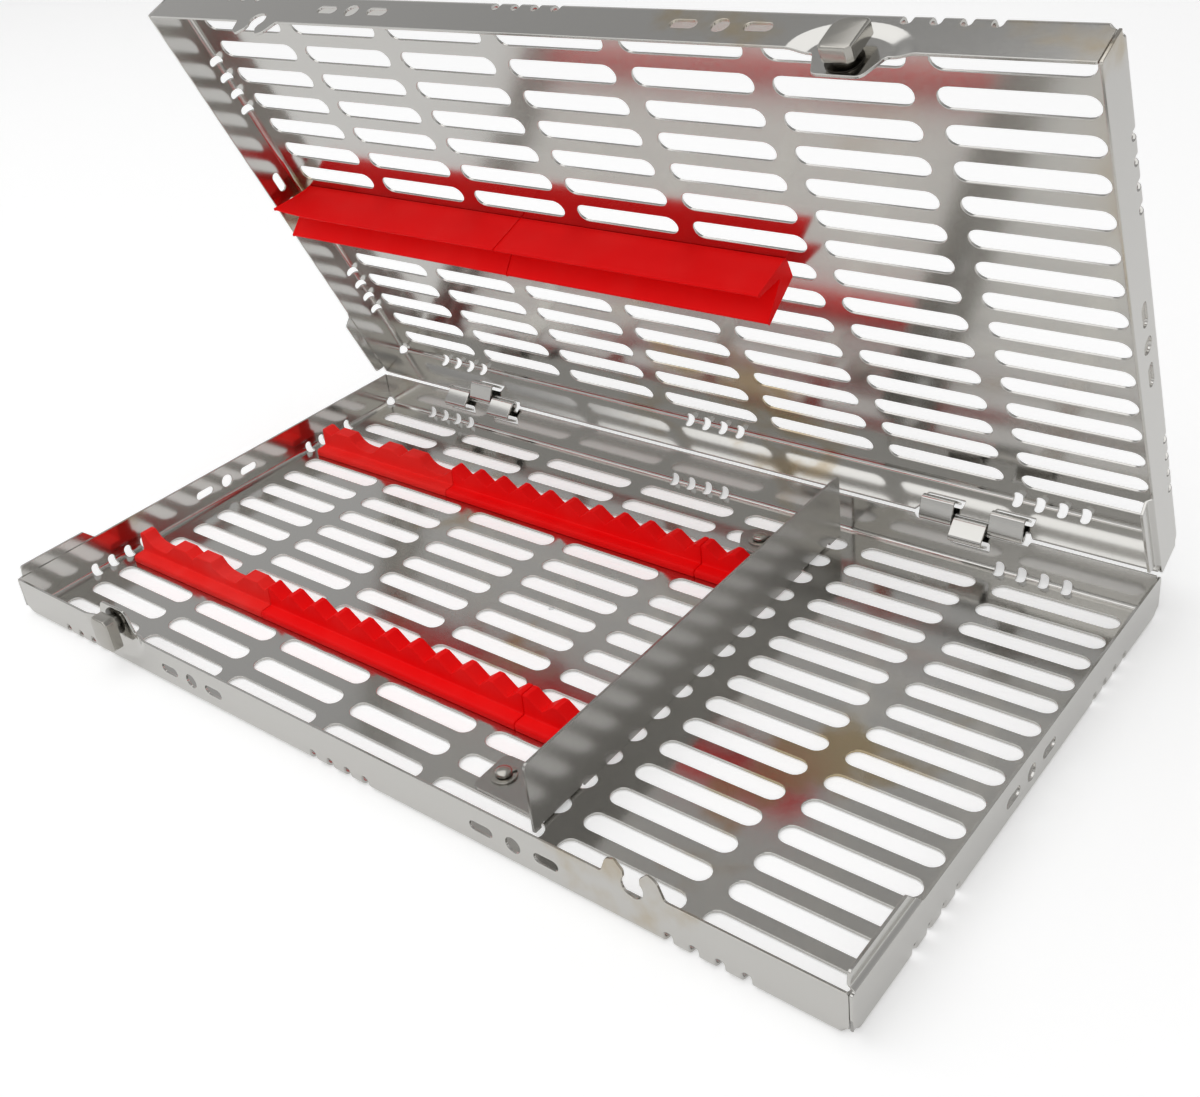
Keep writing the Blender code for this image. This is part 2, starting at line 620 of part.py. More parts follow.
def strap_span(side: str, place: int) -> Point2:
    """x range of the strap at place -1, 0 or 1 of one hinge."""
    middle = HINGE_X[side] + place * (STRAP_WIDTH + STRAP_GAP)
    return (middle - STRAP_WIDTH / 2, middle + STRAP_WIDTH / 2)


# Hinge pins and latches
def hinge_pin(side: str) -> bpy.types.Object:
    """Plain pin through one hinge's straps."""
    x0, x1 = hinge_span(side)
    sections = []
    for x in (x0 - PIN_OVERRUN, x1 + PIN_OVERRUN):
        sections.append([base_point(x, v, w) for v, w in ring(0, 0, PIN_RADIUS, 10)])
    return loft(f"hinge_pin_{side}", sections)


def rounded(corners: list[tuple[float, float, float, int]]) -> list[Point2]:
    """Polygon with rounded corners, each given as (x, y, radius, steps)."""
    points = []
    n = len(corners)
    for k, (x, y, r, steps) in enumerate(corners):
        here, before, after = Vector((x, y)), Vector(corners[k - 1][:2]), Vector(corners[(k + 1) % n][:2])
        a, b = (before - here).normalized(), (after - here).normalized()
        half = a.angle(b) / 2
        start, stop = here + a * r / math.tan(half), here + b * r / math.tan(half)
        centre = here + (a + b).normalized() * r / math.sin(half)
        for j in range(steps + 1):
            f = j / steps
            p = start.lerp(stop, f) - centre
            points.append(tuple(centre + p.normalized() * r))
    return points


def latch(name: str, pivot_x: float, place) -> None:
    """Swivelling latch: block, flatted cam and riveted shank in one, and its washer."""
    corners = [(-1, -LEVER_LOW, 2), (1, -LEVER_LOW, 1), (1, LEVER_HIGH, 2), (-1, LEVER_HIGH, 3)]
    block = rounded([(side * LEVER_HALF, w, r, n) for (side, w, n), r in zip(corners, LEVER_ROUNDS)])
    cam = []
    a = math.asin(POST_FLAT / POST_RADIUS)
    for middle in (math.pi / 2, -math.pi / 2):
        for k in range(5):
            b = middle + a - 2 * a * k / 4
            cam.append((POST_RADIUS * math.cos(b), POST_RADIUS * math.sin(b)))
    count = len(cam)
    start = math.atan2(cam[0][1], cam[0][0])
    ear_outer = FRONT - DISH
    ear_inner = ear_outer - SHEET
    washer = ear_inner - WASHER_GAP
    inner = FRONT + LEVER_GAP
    outer = inner + LEVER_THICK
    points, triangles = triangulate(block, [cam], [])
    used = sorted({k for t in triangles for k in t})
    index = {k: n for n, k in enumerate(used)}
    verts, faces = [], []

    def put(p: Point2, v: float) -> Vector:
        return place(pivot_x + p[0], v, PIVOT_W + p[1])

    def find(p: Point2) -> int:
        return min(range(len(used)), key=lambda n: math.dist(points[used[n]], p))

    verts += [put(points[k], inner) for k in used]
    faces += [tuple(index[k] for k in t) for t in triangles]
    rims = [(1.0, outer - LEVER_BEVEL), (LEVER_FACE_SHARE, outer)]
    centre = (LEVER_HIGH - LEVER_LOW) / 2
    loops = [[find(p) for p in block]]
    for scale, v in rims:
        first = len(verts)
        verts += [put((p[0] * scale, centre + (p[1] - centre) * (1 + scale) / 2), v) for p in block]
        loops.append(list(range(first, first + len(block))))
    faces.append(tuple(loops[-1]))
    round_shank = [
        (math.cos(start - math.tau * k / count), math.sin(start - math.tau * k / count)) for k in range(count)
    ]
    chain = [[find(p) for p in cam]]
    for r, v in (
        (None, ear_outer + SHANK_STEP),
        (SHANK_RADIUS, ear_outer + SHANK_STEP),
        (SHANK_RADIUS, washer - WASHER_THICK - RIVET_GAP),
        (RIVET_RADIUS, washer - WASHER_THICK - RIVET_GAP),
        (RIVET_TOP_RADIUS, washer - WASHER_THICK - RIVET_GAP - RIVET_HEIGHT),
    ):
        first = len(verts)
        shape = cam if r is None else [(r * x, r * y) for x, y in round_shank]
        verts += [put(p, v) for p in shape]
        chain.append(list(range(first, first + count)))
    faces.append(tuple(chain[-1]))
    for group in (loops, chain):
        for low, high in zip(group, group[1:]):
            m = len(low)
            for i in range(m):
                j = (i + 1) % m
                faces += [(low[i], low[j], high[j]), (low[i], high[j], high[i])]
    add_object(f"{name}_lever", verts, faces)
    washer_object(
        f"{name}_washer",
        [(SHANK_RADIUS + WASHER_CLEARANCE, WASHER_RADIUS)],
        lambda p, v: put(p, v),
        washer - WASHER_THICK,
        washer,
    )


def washer_object(name, radii, put, low: float, high: float) -> None:
    """Flat ring between two heights."""
    (inner, outer) = radii[0]
    count = 14
    verts, faces = [], []
    for r, h in ((inner, low), (outer, low), (outer, high), (inner, high)):
        verts += [put(p, h) for p in ring(0, 0, r, count)]
    for k in range(4):
        for i in range(count):
            a, b = k * count + i, k * count + (i + 1) % count
            c, d = ((k + 1) % 4) * count + (i + 1) % count, ((k + 1) % 4) * count + i
            faces += [(a, b, c), (a, c, d)]
    add_object(name, verts, faces)


# Silicone rails and bar
def block_crest(x0: float, x1: float, notch: float) -> list[Point2]:
    """Crest of a left module: notched blocks with scallops between, cut to its length."""
    points = []
    for k in range(-1, int((x1 - x0) / BLOCK_PITCH) + 2):
        for along, down in BLOCK_SHARES:
            points.append((x0 + notch + (k + along) * BLOCK_PITCH, RAIL_HEIGHT - down * SCALLOP_DEPTH))

    def end(x: float) -> Point2:
        """Crest point at x, on the straight between its neighbours."""
        (xa, ha), (xb, hb) = next((a, b) for a, b in zip(points, points[1:]) if a[0] <= x <= b[0])
        return (x, ha + (hb - ha) * (x - xa) / (xb - xa))

    inside = [p for p in points if x0 + CREST_LEAST < p[0] < x1 - CREST_LEAST]
    return [end(x0)] + inside + [end(x1)]


def rail_profile(kind: str, x0: float, x1: float) -> list[Point2]:
    """Fin crest (x, height above the floor) of one rail module."""
    if kind in NOTCH_INSETS:
        return block_crest(x0, x1, NOTCH_INSETS[kind])
    top, low = RAIL_HEIGHT, RAIL_HEIGHT - TOOTH_DEPTH
    flat = TOOTH_FLAT / 2
    crest: list[Point2] = []
    if kind == "middle":
        start = x0 + TOOTH_MARGIN + flat
        span = x1 - x0 - 2 * (TOOTH_MARGIN + flat)
        teeth = round(span / TOOTH_PITCH)
        crest.append((x0, top - CREST_DROP))
        for k in range(teeth + 1):
            peak = start + span * k / teeth
            crest += [(peak - flat, top), (peak + flat, top)]
            if k < teeth:
                crest.append((peak + TOOTH_PITCH / 2, low))
        crest.append((x1, top - CREST_DROP))
    else:
        crest.append((x0, top - CREST_DROP))
        peak = x0 + TOOTH_MARGIN
        while peak + 2 * flat < x1 - SEAT_LEAST:
            crest += [(peak, top), (peak + 2 * flat, top)]
            if peak + TOOTH_PITCH + 2 * flat < x1 - SEAT_LEAST:
                crest.append((peak + flat + TOOTH_PITCH / 2, low))
            peak += TOOTH_PITCH
        crest.append((x1, low + VALLEY_RISE))
    return crest


def peg_spans(x0: float, x1: float) -> list[Point2]:
    """x ranges of the pegs of a module: one in each slot that lies far enough under it."""
    spans = []
    for column in range(SLOT_COLUMNS):
        middle = slot_centre(column, 0)[0]
        a = max(middle - SLOT_LENGTH / 2 + PEG_END, x0 + PEG_MARGIN)
        b = min(middle + SLOT_LENGTH / 2 - PEG_END, x1 - PEG_MARGIN)
        if b - a >= PEG_LEAST:
            spans.append((a, min(b, a + PEG_LENGTH)))
    return spans


def rail_module(name: str, kind: str, v: float, x0: float, x1: float) -> None:
    """One silicone rail module with its pegs in the slots under it."""
    floor = FLOOR_INNER - SEAT_GAP
    sections = []
    for x, height in rail_profile(kind, x0 + SEAM_GAP, x1 - SEAM_GAP):
        shape = [
            (-RAIL_STRIP_HALF, 0.0),
            (RAIL_STRIP_HALF, 0.0),
            (RAIL_STRIP_HALF, RAIL_STRIP_HEIGHT - STRIP_SLOPE),
            (RAIL_FIN_HALF, RAIL_STRIP_HEIGHT),
            (RAIL_FIN_TOP_HALF, height),
            (-RAIL_FIN_TOP_HALF, height),
            (-RAIL_FIN_HALF, RAIL_STRIP_HEIGHT),
            (-RAIL_STRIP_HALF, RAIL_STRIP_HEIGHT - STRIP_SLOPE),
        ]
        sections.append([base_point(x, v - RAIL_SHIFT + a, floor - b) for a, b in shape])
    body = loft(name, sections)
    pegs = [(a, b, v) for a, b in peg_spans(x0, x1)]
    join_pegs(body, pegs, base_point)


def join_pegs(body: bpy.types.Object, pegs: list[tuple[float, float, float]], place) -> None:
    """Grow rectangular pegs through the floor's slots out of a silicone body."""
    top, low = FLOOR_INNER - SEAT_GAP - PEG_SINK, HALF_HEIGHT - PEG_SHORT
    for n, (x0, x1, v) in enumerate(pegs):
        half = PEG_WIDTH / 2
        sections = []
        for w in (top, low):
            corners = ((x0, -half), (x1, -half), (x1, half), (x0, half))
            sections.append([place(x, v + s, w) for x, s in corners])
        peg = loft(f"{body.name}_peg_{n}", sections)
        peg.hide_render = True
        peg.display_type = "WIRE"
        union = body.modifiers.new(f"peg_{n}", "BOOLEAN")
        union.operation = "UNION"
        union.solver = "EXACT"
        union.object = peg


def bar_module(name: str, x0: float, x1: float) -> None:
    """One module of the lid's two-lipped silicone bar."""
    v = slot_centre(0, BAR_ROW)[1]
    floor = FLOOR_INNER - SEAT_GAP
    half = [
        (BAR_ROOT_HALF, floor),
        (BAR_TIP_HALF, BAR_TIP_W + BAR_CHAMFER),
        (BAR_TIP_HALF - BAR_CHAMFER, BAR_TIP_W),
        (BAR_TIP_HALF - BAR_LIP, BAR_TIP_W),
        (BAR_VALLEY_HALF, BAR_VALLEY_W),
    ]
    shape = half + [(-a, w) for a, w in reversed(half)]
    sections = [[lid_point(x, v + a, w) for a, w in shape] for x in (x0 + SEAM_GAP, x1 - SEAM_GAP)]
    body = loft(name, sections)
    pegs = [(a, b, v) for a, b in peg_spans(x0, x1)]
    join_pegs(body, pegs, lid_point)


# Divider
def divider() -> None:
    """Upright plate with two bent feet, cut and folded like the trays."""
    bend_neutral = DIVIDER_BEND + DIVIDER_SHEET / 2
    bend_length = bend_neutral * math.pi / 2
    floor = FLOOR_INNER - SEAT_GAP
    plate_height = floor - DIVIDER_TOP_W
    start = DIVIDER_BEND + DIVIDER_SHEET  # height of the fold's upper end above the floor

    # blank coordinates: v along the plate, d down from the fold's upper end
    def fold(point: Point2, depth: float) -> tuple[float, float, float]:
        v, d = point
        if d <= 0:
            return (DIVIDER_X + depth, v, floor - start + d)
        radius = DIVIDER_BEND + depth
        if d <= bend_length:
            a = d / bend_neutral
            return (DIVIDER_X - DIVIDER_BEND + radius * math.cos(a), v, floor - start + radius * math.sin(a))
        return (DIVIDER_X - DIVIDER_BEND - (d - bend_length), v, floor - start + radius)

    def foot(x: float) -> float:
        return bend_length + (DIVIDER_X - DIVIDER_BEND - x)

    v0, v1 = DIVIDER_V
    studs = [(stud_x(reach), slot_centre(0, row)[1]) for reach, row in zip(STUD_SETS, FOOT_ROWS)]
    (fx, front_v), (rx, rear_v) = studs
    top = start - plate_height

    def foot_points(middle: float, reach: float, shares) -> list[Point2]:
        notch = [middle + share * FOOT_HALF for share in FOOT_NOTCH_SHARES]
        points = [(notch[0], start), (notch[0], 0.0)]
        points += [(middle + a * FOOT_HALF, foot(DIVIDER_X - b * reach) if b else 0.0) for a, b in shares]
        return points + [(notch[3], 0.0), (notch[3], start)]

    wide, small = DIVIDER_TOP_CHAMFER, DIVIDER_LOW_CHAMFER
    outline = [(v0, top + wide), (v0 + wide, top), (v1 - wide, top), (v1, top + wide)]
    outline += [(v1, start - small), (v1 - small, start)]
    outline += foot_points(front_v, DIVIDER_X - fx + FOOT_BEYOND[0], FRONT_FOOT_SHARES)
    outline += foot_points(rear_v, DIVIDER_X - rx + FOOT_BEYOND[1], REAR_FOOT_SHARES)
    outline += [(v0 + small, start), (v0, start - small)]
    hole = STUD_SHANK_RADIUS + STUD_HOLE_GAP
    holes = [ring(front_v, foot(fx), hole, 10), ring(rear_v, foot(rx), hole, 10)]
    lines = []
    for middle in (front_v, rear_v):
        turns = (0.0, bend_length / 2, bend_length)
        lines += [[(middle - FOOT_HALF, d), (middle + FOOT_HALF, d)] for d in turns]
    sheet_object("divider_plate", outline, holes, lines, fold, base_point, DIVIDER_SHEET)

    foot_top = floor - DIVIDER_SHEET
    for name, (x, slot_v) in zip(("front", "rear"), studs):
        head = foot_top - RING_THICK - STUD_HEAD_GAP
        profile = [
            (STUD_FOOT_RADIUS, HALF_HEIGHT - STUD_FOOT_GAP),
            (STUD_FOOT_RADIUS, FLOOR_INNER + STUD_SEAT_GAP),
            (STUD_SHANK_RADIUS, FLOOR_INNER + STUD_SEAT_GAP),
            (STUD_SHANK_RADIUS, head),
            (STUD_HEAD_RADIUS, head),
            (STUD_HEAD_RADIUS * STUD_RIM_SHARE, head - STUD_HEAD_RIM),
            (STUD_HEAD_RADIUS * STUD_DOME_SHARE, head - STUD_HEAD_RIM - STUD_HEAD_DOME),
        ]
        sections = [[base_point(a, b, w) for a, b in ring(x, slot_v, r, 12)] for r, w in profile]
        loft(f"divider_stud_{name}", sections)

        def put(p: Point2, w: float, x=x, v=slot_v) -> Vector:
            return base_point(x + p[0], v + p[1], w)

        ring_low = foot_top - RING_GAP
        washer_object(f"stud_ring_{name}", [(RING_HOLE, RING_RADIUS)], put, ring_low - RING_THICK, ring_low)


def centre_on_origin() -> None:
    """Move everything so that the origin is under the middle of the open cassette."""
    low, high = [1e9] * 3, [-1e9] * 3
    for obj in bpy.data.objects:
        for vertex in obj.data.vertices:
            for k in range(3):
                low[k] = min(low[k], vertex.co[k])
                high[k] = max(high[k], vertex.co[k])
    shift = Vector((-(low[0] + high[0]) / 2, -(low[1] + high[1]) / 2, -low[2]))
    for obj in bpy.data.objects:
        for vertex in obj.data.vertices:
            vertex.co += shift
    print("HINGE AXIS", [round(c, 6) for c in shift + Vector((0, 0, HALF_HEIGHT * MM))])
    print("BOX", [round(b - a, 6) for a, b in zip(low, high)])


def main() -> None:
    """Build the whole cassette."""
    for obj in list(bpy.data.objects):
        bpy.data.objects.remove(obj, do_unlink=True)
    base_straps = [strap_span("left", -1), strap_span("left", 1), strap_span("right", 0)]
    lid_straps = [strap_span("left", 0), strap_span("right", -1), strap_span("right", 1)]
    base_tab = tuple(FRONT - inset for inset in BASE_TAB_INSETS)
    lid_tab = tuple(BACK + inset for inset in LID_TAB_INSETS)
    Tray("base_tray", base_straps, LATCH_X, -LATCH_X, base_tab, base_point).build()
    Tray("lid_tray", lid_straps, -LATCH_X, LATCH_X, lid_tab, lid_point).build()
    for side in HINGE_X:
        hinge_pin(side)
    latch("base_latch", -LATCH_X, base_point)
    latch("lid_latch", LATCH_X, lid_point)
    for row, where in zip(RAIL_ROWS, ("rear", "front")):
        v = slot_centre(0, row)[1]
        rail_module(f"rail_{where}_left", where, v, RAIL_SEAMS[0], RAIL_SEAMS[1])
        rail_module(f"rail_{where}_middle", "middle", v, RAIL_SEAMS[1], RAIL_SEAMS[2])
        rail_module(f"rail_{where}_right", "right", v, RAIL_SEAMS[2], RAIL_SEAMS[3])
    bar_module("lid_bar_left", BAR_SEAMS[0], BAR_SEAMS[1])
    bar_module("lid_bar_right", BAR_SEAMS[1], BAR_SEAMS[2])
    divider()
    centre_on_origin()


main()
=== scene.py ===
"""Visual model of an open dental instrument cassette.

Two perforated half trays of folded, electropolished steel hang together on curled
straps.  Silicone comb rails stand in the base, a two-lipped silicone bar lies in the
lid, and an upright divider is studded to the floor.

Lengths are in millimetres until a mesh is written.  A half tray has tray coordinates
(x, v, w): x along the cassette, v inward from the hinge axis, w away from the parting
plane, so the outer face of its floor is at w = HALF_HEIGHT.
"""

from __future__ import annotations

import logging
import math
from collections.abc import Callable, Sequence
from dataclasses import dataclass, field
from enum import Enum

import bpy
import numpy as np
from mathutils import Matrix, Vector
from mathutils.geometry import delaunay_2d_cdt, tessellate_polygon

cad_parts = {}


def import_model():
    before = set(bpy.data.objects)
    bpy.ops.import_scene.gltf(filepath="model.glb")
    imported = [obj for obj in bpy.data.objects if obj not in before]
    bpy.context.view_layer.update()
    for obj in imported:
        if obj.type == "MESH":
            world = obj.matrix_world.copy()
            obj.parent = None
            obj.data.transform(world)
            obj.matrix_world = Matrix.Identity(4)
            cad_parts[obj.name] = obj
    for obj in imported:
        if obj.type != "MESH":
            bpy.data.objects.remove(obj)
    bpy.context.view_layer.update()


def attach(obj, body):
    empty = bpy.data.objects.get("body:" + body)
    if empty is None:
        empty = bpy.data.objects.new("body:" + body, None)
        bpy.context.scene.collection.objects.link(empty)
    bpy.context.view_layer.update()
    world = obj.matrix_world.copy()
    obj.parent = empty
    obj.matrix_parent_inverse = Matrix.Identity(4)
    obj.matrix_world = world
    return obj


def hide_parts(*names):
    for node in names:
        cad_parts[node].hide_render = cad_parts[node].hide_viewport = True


log = logging.getLogger("cassette")

# Types
Array = np.ndarray
Place = Callable[[Array], Array]
Skin = tuple[Array, list[Array]]
Pair = tuple[float, float]
Triple = tuple[float, float, float]
Value = bpy.types.NodeSocket | float | Sequence[float]

# Sizes shared by several pieces
MM = 0.001
LENGTH, DEPTH, HALF_HEIGHT, SHEET = 300.0, 168.0, 13.6, 0.8
OPENING = math.radians(66.0)
HINGE_Y = 80.097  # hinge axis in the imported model
BACK = -SHEET / 2
FRONT = BACK + DEPTH
EDGE_INSET = 0.7  # the walls end this far short of the parting plane
FLOOR_INNER = HALF_HEIGHT - SHEET
SEAT = FLOOR_INNER - 0.04  # level that fitted pieces stand on

# The bends round the floor, by outer and inner radius and by the sheet's middle
BEND_OUTER = 2.2
BEND_INNER = BEND_OUTER - SHEET
BEND_NEUTRAL = BEND_INNER + SHEET / 2
BEND_LENGTH = BEND_NEUTRAL * math.pi / 2
X_TANGENT = LENGTH / 2 - BEND_OUTER
V_TANGENT_BACK, V_TANGENT_FRONT = BACK + BEND_OUTER, FRONT - BEND_OUTER

# Slot field, hinge straps with their cut-outs, and latches
SLOT_COLUMNS, SLOT_ROWS = 7, 15
SLOT_PITCH_X, SLOT_PITCH_V = 41.6, 10.5
SLOT_LENGTH, SLOT_WIDTH = 36.2, 6.2
SLOT_MID_X, SLOT_MID_V = 0.5, BACK + DEPTH / 2 - 0.45
STRAP_WIDTH, STRAP_GAP, CUT_W = 10.2, 0.5, 2.3
HINGE_X = {"left": -97.4, "right": 95.9}
LATCH_X, PIVOT_W, DISH = 96.6, -1.1, 1.25


class Body(Enum):
    """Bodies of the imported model."""

    BASE = "base"
    LID = "lid"
    BASE_LATCH = "base_latch"
    LID_LATCH = "lid_latch"


class Wall(Enum):
    """Walls of a half tray, numbered as the fold finds them."""

    FRONT = 0
    BACK = 1
    RIGHT = 2
    LEFT = 3


# Places
def base_place(points: Array) -> Array:
    """Tray coordinates of the base to the frame: v runs forward from the hinge, w down."""
    x, v, w = points[..., 0], points[..., 1], points[..., 2]
    return np.stack([x, HINGE_Y - v, HALF_HEIGHT - w], -1) * MM


def lid_place(points: Array) -> Array:
    """Tray coordinates of the lid to the frame: the base's, mirrored and swung open."""
    x, v, w = points[..., 0], points[..., 1], points[..., 2]
    c, s = math.cos(OPENING), math.sin(OPENING)
    return np.stack([x, HINGE_Y - v * c + w * s, HALF_HEIGHT + v * s + w * c], -1) * MM


def column_x(column: int | Array) -> float | Array:
    """Middle x of a column of slots, counted from the left."""
    return SLOT_MID_X + (column - (SLOT_COLUMNS - 1) / 2) * SLOT_PITCH_X


def row_v(row: int) -> float:
    """Middle v of a row of slots, counted from the hinge."""
    return SLOT_MID_V + (row - (SLOT_ROWS - 1) / 2) * SLOT_PITCH_V


# Flat outlines
def spokes(angle: Array) -> Array:
    """Unit vectors (n, 2) at angles in radians."""
    return np.stack([np.cos(angle), np.sin(angle)], 1)


def ease(share: Array) -> Array:
    """Smooth step 3 f^2 - 2 f^3 of a share cut to 0..1."""
    f = np.clip(share, 0, 1)
    return f * f * (3 - 2 * f)


def stadium(
    cx: float, cy: float, length: float, width: float, upright: bool = False, steps: int = 9
) -> Array:
    """Slot outline: two half circles of half the width, joined by straight sides.

    Args:
        cx, cy: middle of the slot.
        length, width: overall size.
        upright: turns the slot a quarter.
        steps: chords in each half circle.

    Returns:
        Points (n, 2), counter-clockwise.
    """
    r = width / 2
    end = r * spokes(np.radians(np.linspace(-90, 90, steps + 1))) + (length / 2 - r, 0)
    loop = np.concatenate([end, -end])
    if upright:
        loop = np.stack([-loop[:, 1], loop[:, 0]], 1)
    return loop + (cx, cy)


def ring(cx: float, cy: float, radius: float, steps: int = 28) -> Array:
    """Circle as points (n, 2), counter-clockwise."""
    return radius * spokes(np.arange(steps) * math.tau / steps) + (cx, cy)


def fillet(corners: Array, radii: Array | float, steps: int = 6, closed: bool = True) -> Array:
    """Polygon with rounded corners.

    Each corner becomes the arc that touches both of its sides: the arc's centre lies on
    the bisector at radius / sin(half angle), and points between the two tangent points
    are their slerp about that centre.

    Args:
        corners: (n, 2) polygon.
        radii: one radius, or one for each rounded corner; each is cut to fit its sides.
        steps: chords in each arc.
        closed: false for an open run, whose two ends stay as they are.

    Returns:
        The rounded points.
    """
    corners = np.asarray(corners, float)
    here = corners if closed else corners[1:-1]
    before = np.roll(here, 1, 0) - here if closed else corners[:-2] - here
    after = np.roll(here, -1, 0) - here if closed else corners[2:] - here
    len_b, len_a = np.linalg.norm(before, axis=1), np.linalg.norm(after, axis=1)
    b, a = before / len_b[:, None], after / len_a[:, None]
    half = np.arccos(np.clip((a * b).sum(1), -1, 1)) / 2
    half = np.minimum(half, math.pi / 2 - 1e-4)
    longest = 0.47 * np.minimum(len_a, len_b)
    reach = np.minimum(np.broadcast_to(radii, half.shape) / np.tan(half), longest)
    radius = reach * np.tan(half)
    bisector = a + b
    bisector /= np.maximum(np.linalg.norm(bisector, axis=1), 1e-9)[:, None]
    centre = here + bisector * (radius / np.sin(half))[:, None]
    start, stop = here + b * reach[:, None] - centre, here + a * reach[:, None] - centre
    sweep = (math.pi - 2 * half)[:, None]
    f = np.linspace(0, 1, steps + 1)[None, :]
    k0, k1 = (np.sin(share * sweep) / np.sin(sweep) for share in (1 - f, f))
    arcs = centre[:, None] + k0[..., None] * start[:, None] + k1[..., None] * stop[:, None]
    arcs = arcs.reshape(-1, 2)
    return arcs if closed else np.vstack([corners[:1], arcs, corners[-1:]])


def mitres(total: Array, least: float) -> Array:
    """Mitres 2 m / m^2 for sums m of two unit normals, with m^2 held to the least or more."""
    return 2 * total / np.maximum((total**2).sum(-1), least)[..., None]


def grown(loop: Array, amount: float) -> Array:
    """Counter-clockwise loop moved outward by a mitred offset."""
    edge = np.roll(loop, -1, 0) - loop
    length = np.linalg.norm(edge, axis=1)
    loop, edge, length = loop[length > 1e-6], edge[length > 1e-6], length[length > 1e-6]
    normal = np.stack([edge[:, 1], -edge[:, 0]], 1) / length[:, None]
    total = normal + np.roll(normal, 1, 0)
    return loop + amount * mitres(total, 0.5)


def counter_clockwise(loop: Array) -> Array:
    """The loop, turned round if it runs clockwise."""
    x, y = loop[:, 0], loop[:, 1]
    return loop if (x * np.roll(y, -1) - y * np.roll(x, -1)).sum() > 0 else loop[::-1]


# Writing meshes
def write_mesh(
    name: str, points: Array, faces: Sequence[Array], normals: Array | None = None
) -> bpy.types.Object:
    """Put arrays into a new object at the origin.

    Args:
        name: piece name.
        points: (n, 3) in metres.
        faces: index arrays, each (m, 3) or (m, 4).
        normals: optional (n, 3) vertex normals; without them the faces stay smooth.

    Returns:
        The linked object.
    """
    mesh = bpy.data.meshes.new(name)
    loops = np.concatenate([f.reshape(-1) for f in faces])
    sizes = np.concatenate([np.full(len(f), f.shape[1]) for f in faces])
    starts = np.concatenate([[0], np.cumsum(sizes)[:-1]])
    mesh.vertices.add(len(points))
    mesh.vertices.foreach_set("co", np.ascontiguousarray(points, np.float32).reshape(-1))
    mesh.loops.add(len(loops))
    mesh.loops.foreach_set("vertex_index", loops.astype(np.int32))
    mesh.polygons.add(len(sizes))
    mesh.polygons.foreach_set("loop_start", starts.astype(np.int32))
    mesh.polygons.foreach_set("use_smooth", np.ones(len(sizes), bool))
    mesh.update(calc_edges=True)
    mesh.validate()
    if normals is not None:
        mesh.normals_split_custom_set_from_vertices(normals.tolist())
    obj = bpy.data.objects.new(name, mesh)
    bpy.context.scene.collection.objects.link(obj)
    return obj


def dress(obj: bpy.types.Object, material: bpy.types.Material) -> None:
    """Give a piece one material in every slot."""
    if not obj.material_slots:
        obj.data.materials.append(material)
    for slot in obj.material_slots:
        slot.material = material


@dataclass
class Curve:
    """Polyline in the (v, w) plane with mitred sideways offsets, walked by its length.

    Attributes:
        points: (n, 2) corners.
        lengths: length along the line at each corner.
        sides: at each corner, the way to the same line moved sideways by one.
    """

    points: Array
    lengths: Array = field(init=False)
    sides: Array = field(init=False)

    def __post_init__(self) -> None:
        """Measure the path and find each corner's mitre."""
        step = np.diff(self.points, axis=0)
        size = np.linalg.norm(step, axis=1)
        self.lengths = np.concatenate([[0.0], np.cumsum(size)])
        d = step / size[:, None]
        before, after = np.vstack([[0.0, -1.0], d]), np.vstack([d, d[-1]])
        total = np.stack([before[:, 1] + after[:, 1], -before[:, 0] - after[:, 0]], 1)
        self.sides = 2 * total / (total**2).sum(1)[:, None]

    def at(self, s: Array, out: Array) -> tuple[Array, Array]:
        """Points at lengths s, moved sideways by out."""
        found = []
        for k in (0, 1):
            along = np.interp(s, self.lengths, self.points[:, k])
            found.append(along + out * np.interp(s, self.lengths, self.sides[:, k]))
        return found[0], found[1]


def strap_path(
    curl: float = 1.3, slope: float = 4.5, bend: float = 1.1, heading: float = 149.7, end: float = 4.75
) -> Curve:
    """Centreline of a hinge strap.

    It leaves the cut-out's edge on the tangent to the curl, runs round the pin, then
    down a 45 degree slope, round a bend and back straight to the wall's window.

    Args:
        curl, bend: radii round the pin and at the foot of the slope.
        slope, end: lengths of the slope and of the last straight.
        heading: direction of the last straight, in degrees.
    """
    reach = math.sqrt(CUT_W**2 - curl**2)
    lean = math.asin(curl / CUT_W)
    touch = (-reach * math.sin(lean), CUT_W - reach * math.cos(lean))
    a = np.linspace(math.atan2(-touch[1], -touch[0]), math.radians(135), 17)
    round_pin = -curl * spokes(a)
    diagonal = math.sqrt(0.5)
    low = round_pin[-1] + slope * diagonal
    centre = low + bend * diagonal * np.array([-1, 1])
    turn = centre + bend * spokes(np.radians(np.linspace(-45, heading - 90, 9)))
    stop = turn[-1] + end * spokes(np.radians([heading]))
    return Curve(np.vstack([[0.0, CUT_W], round_pin, turn, stop]))


STRAP = strap_path()


def strap_span(side: str, place: int) -> Pair:
    """x range of the strap at place -1, 0 or 1 of one hinge."""
    middle = HINGE_X[side] + place * (STRAP_WIDTH + STRAP_GAP)
    return middle - STRAP_WIDTH / 2, middle + STRAP_WIDTH / 2


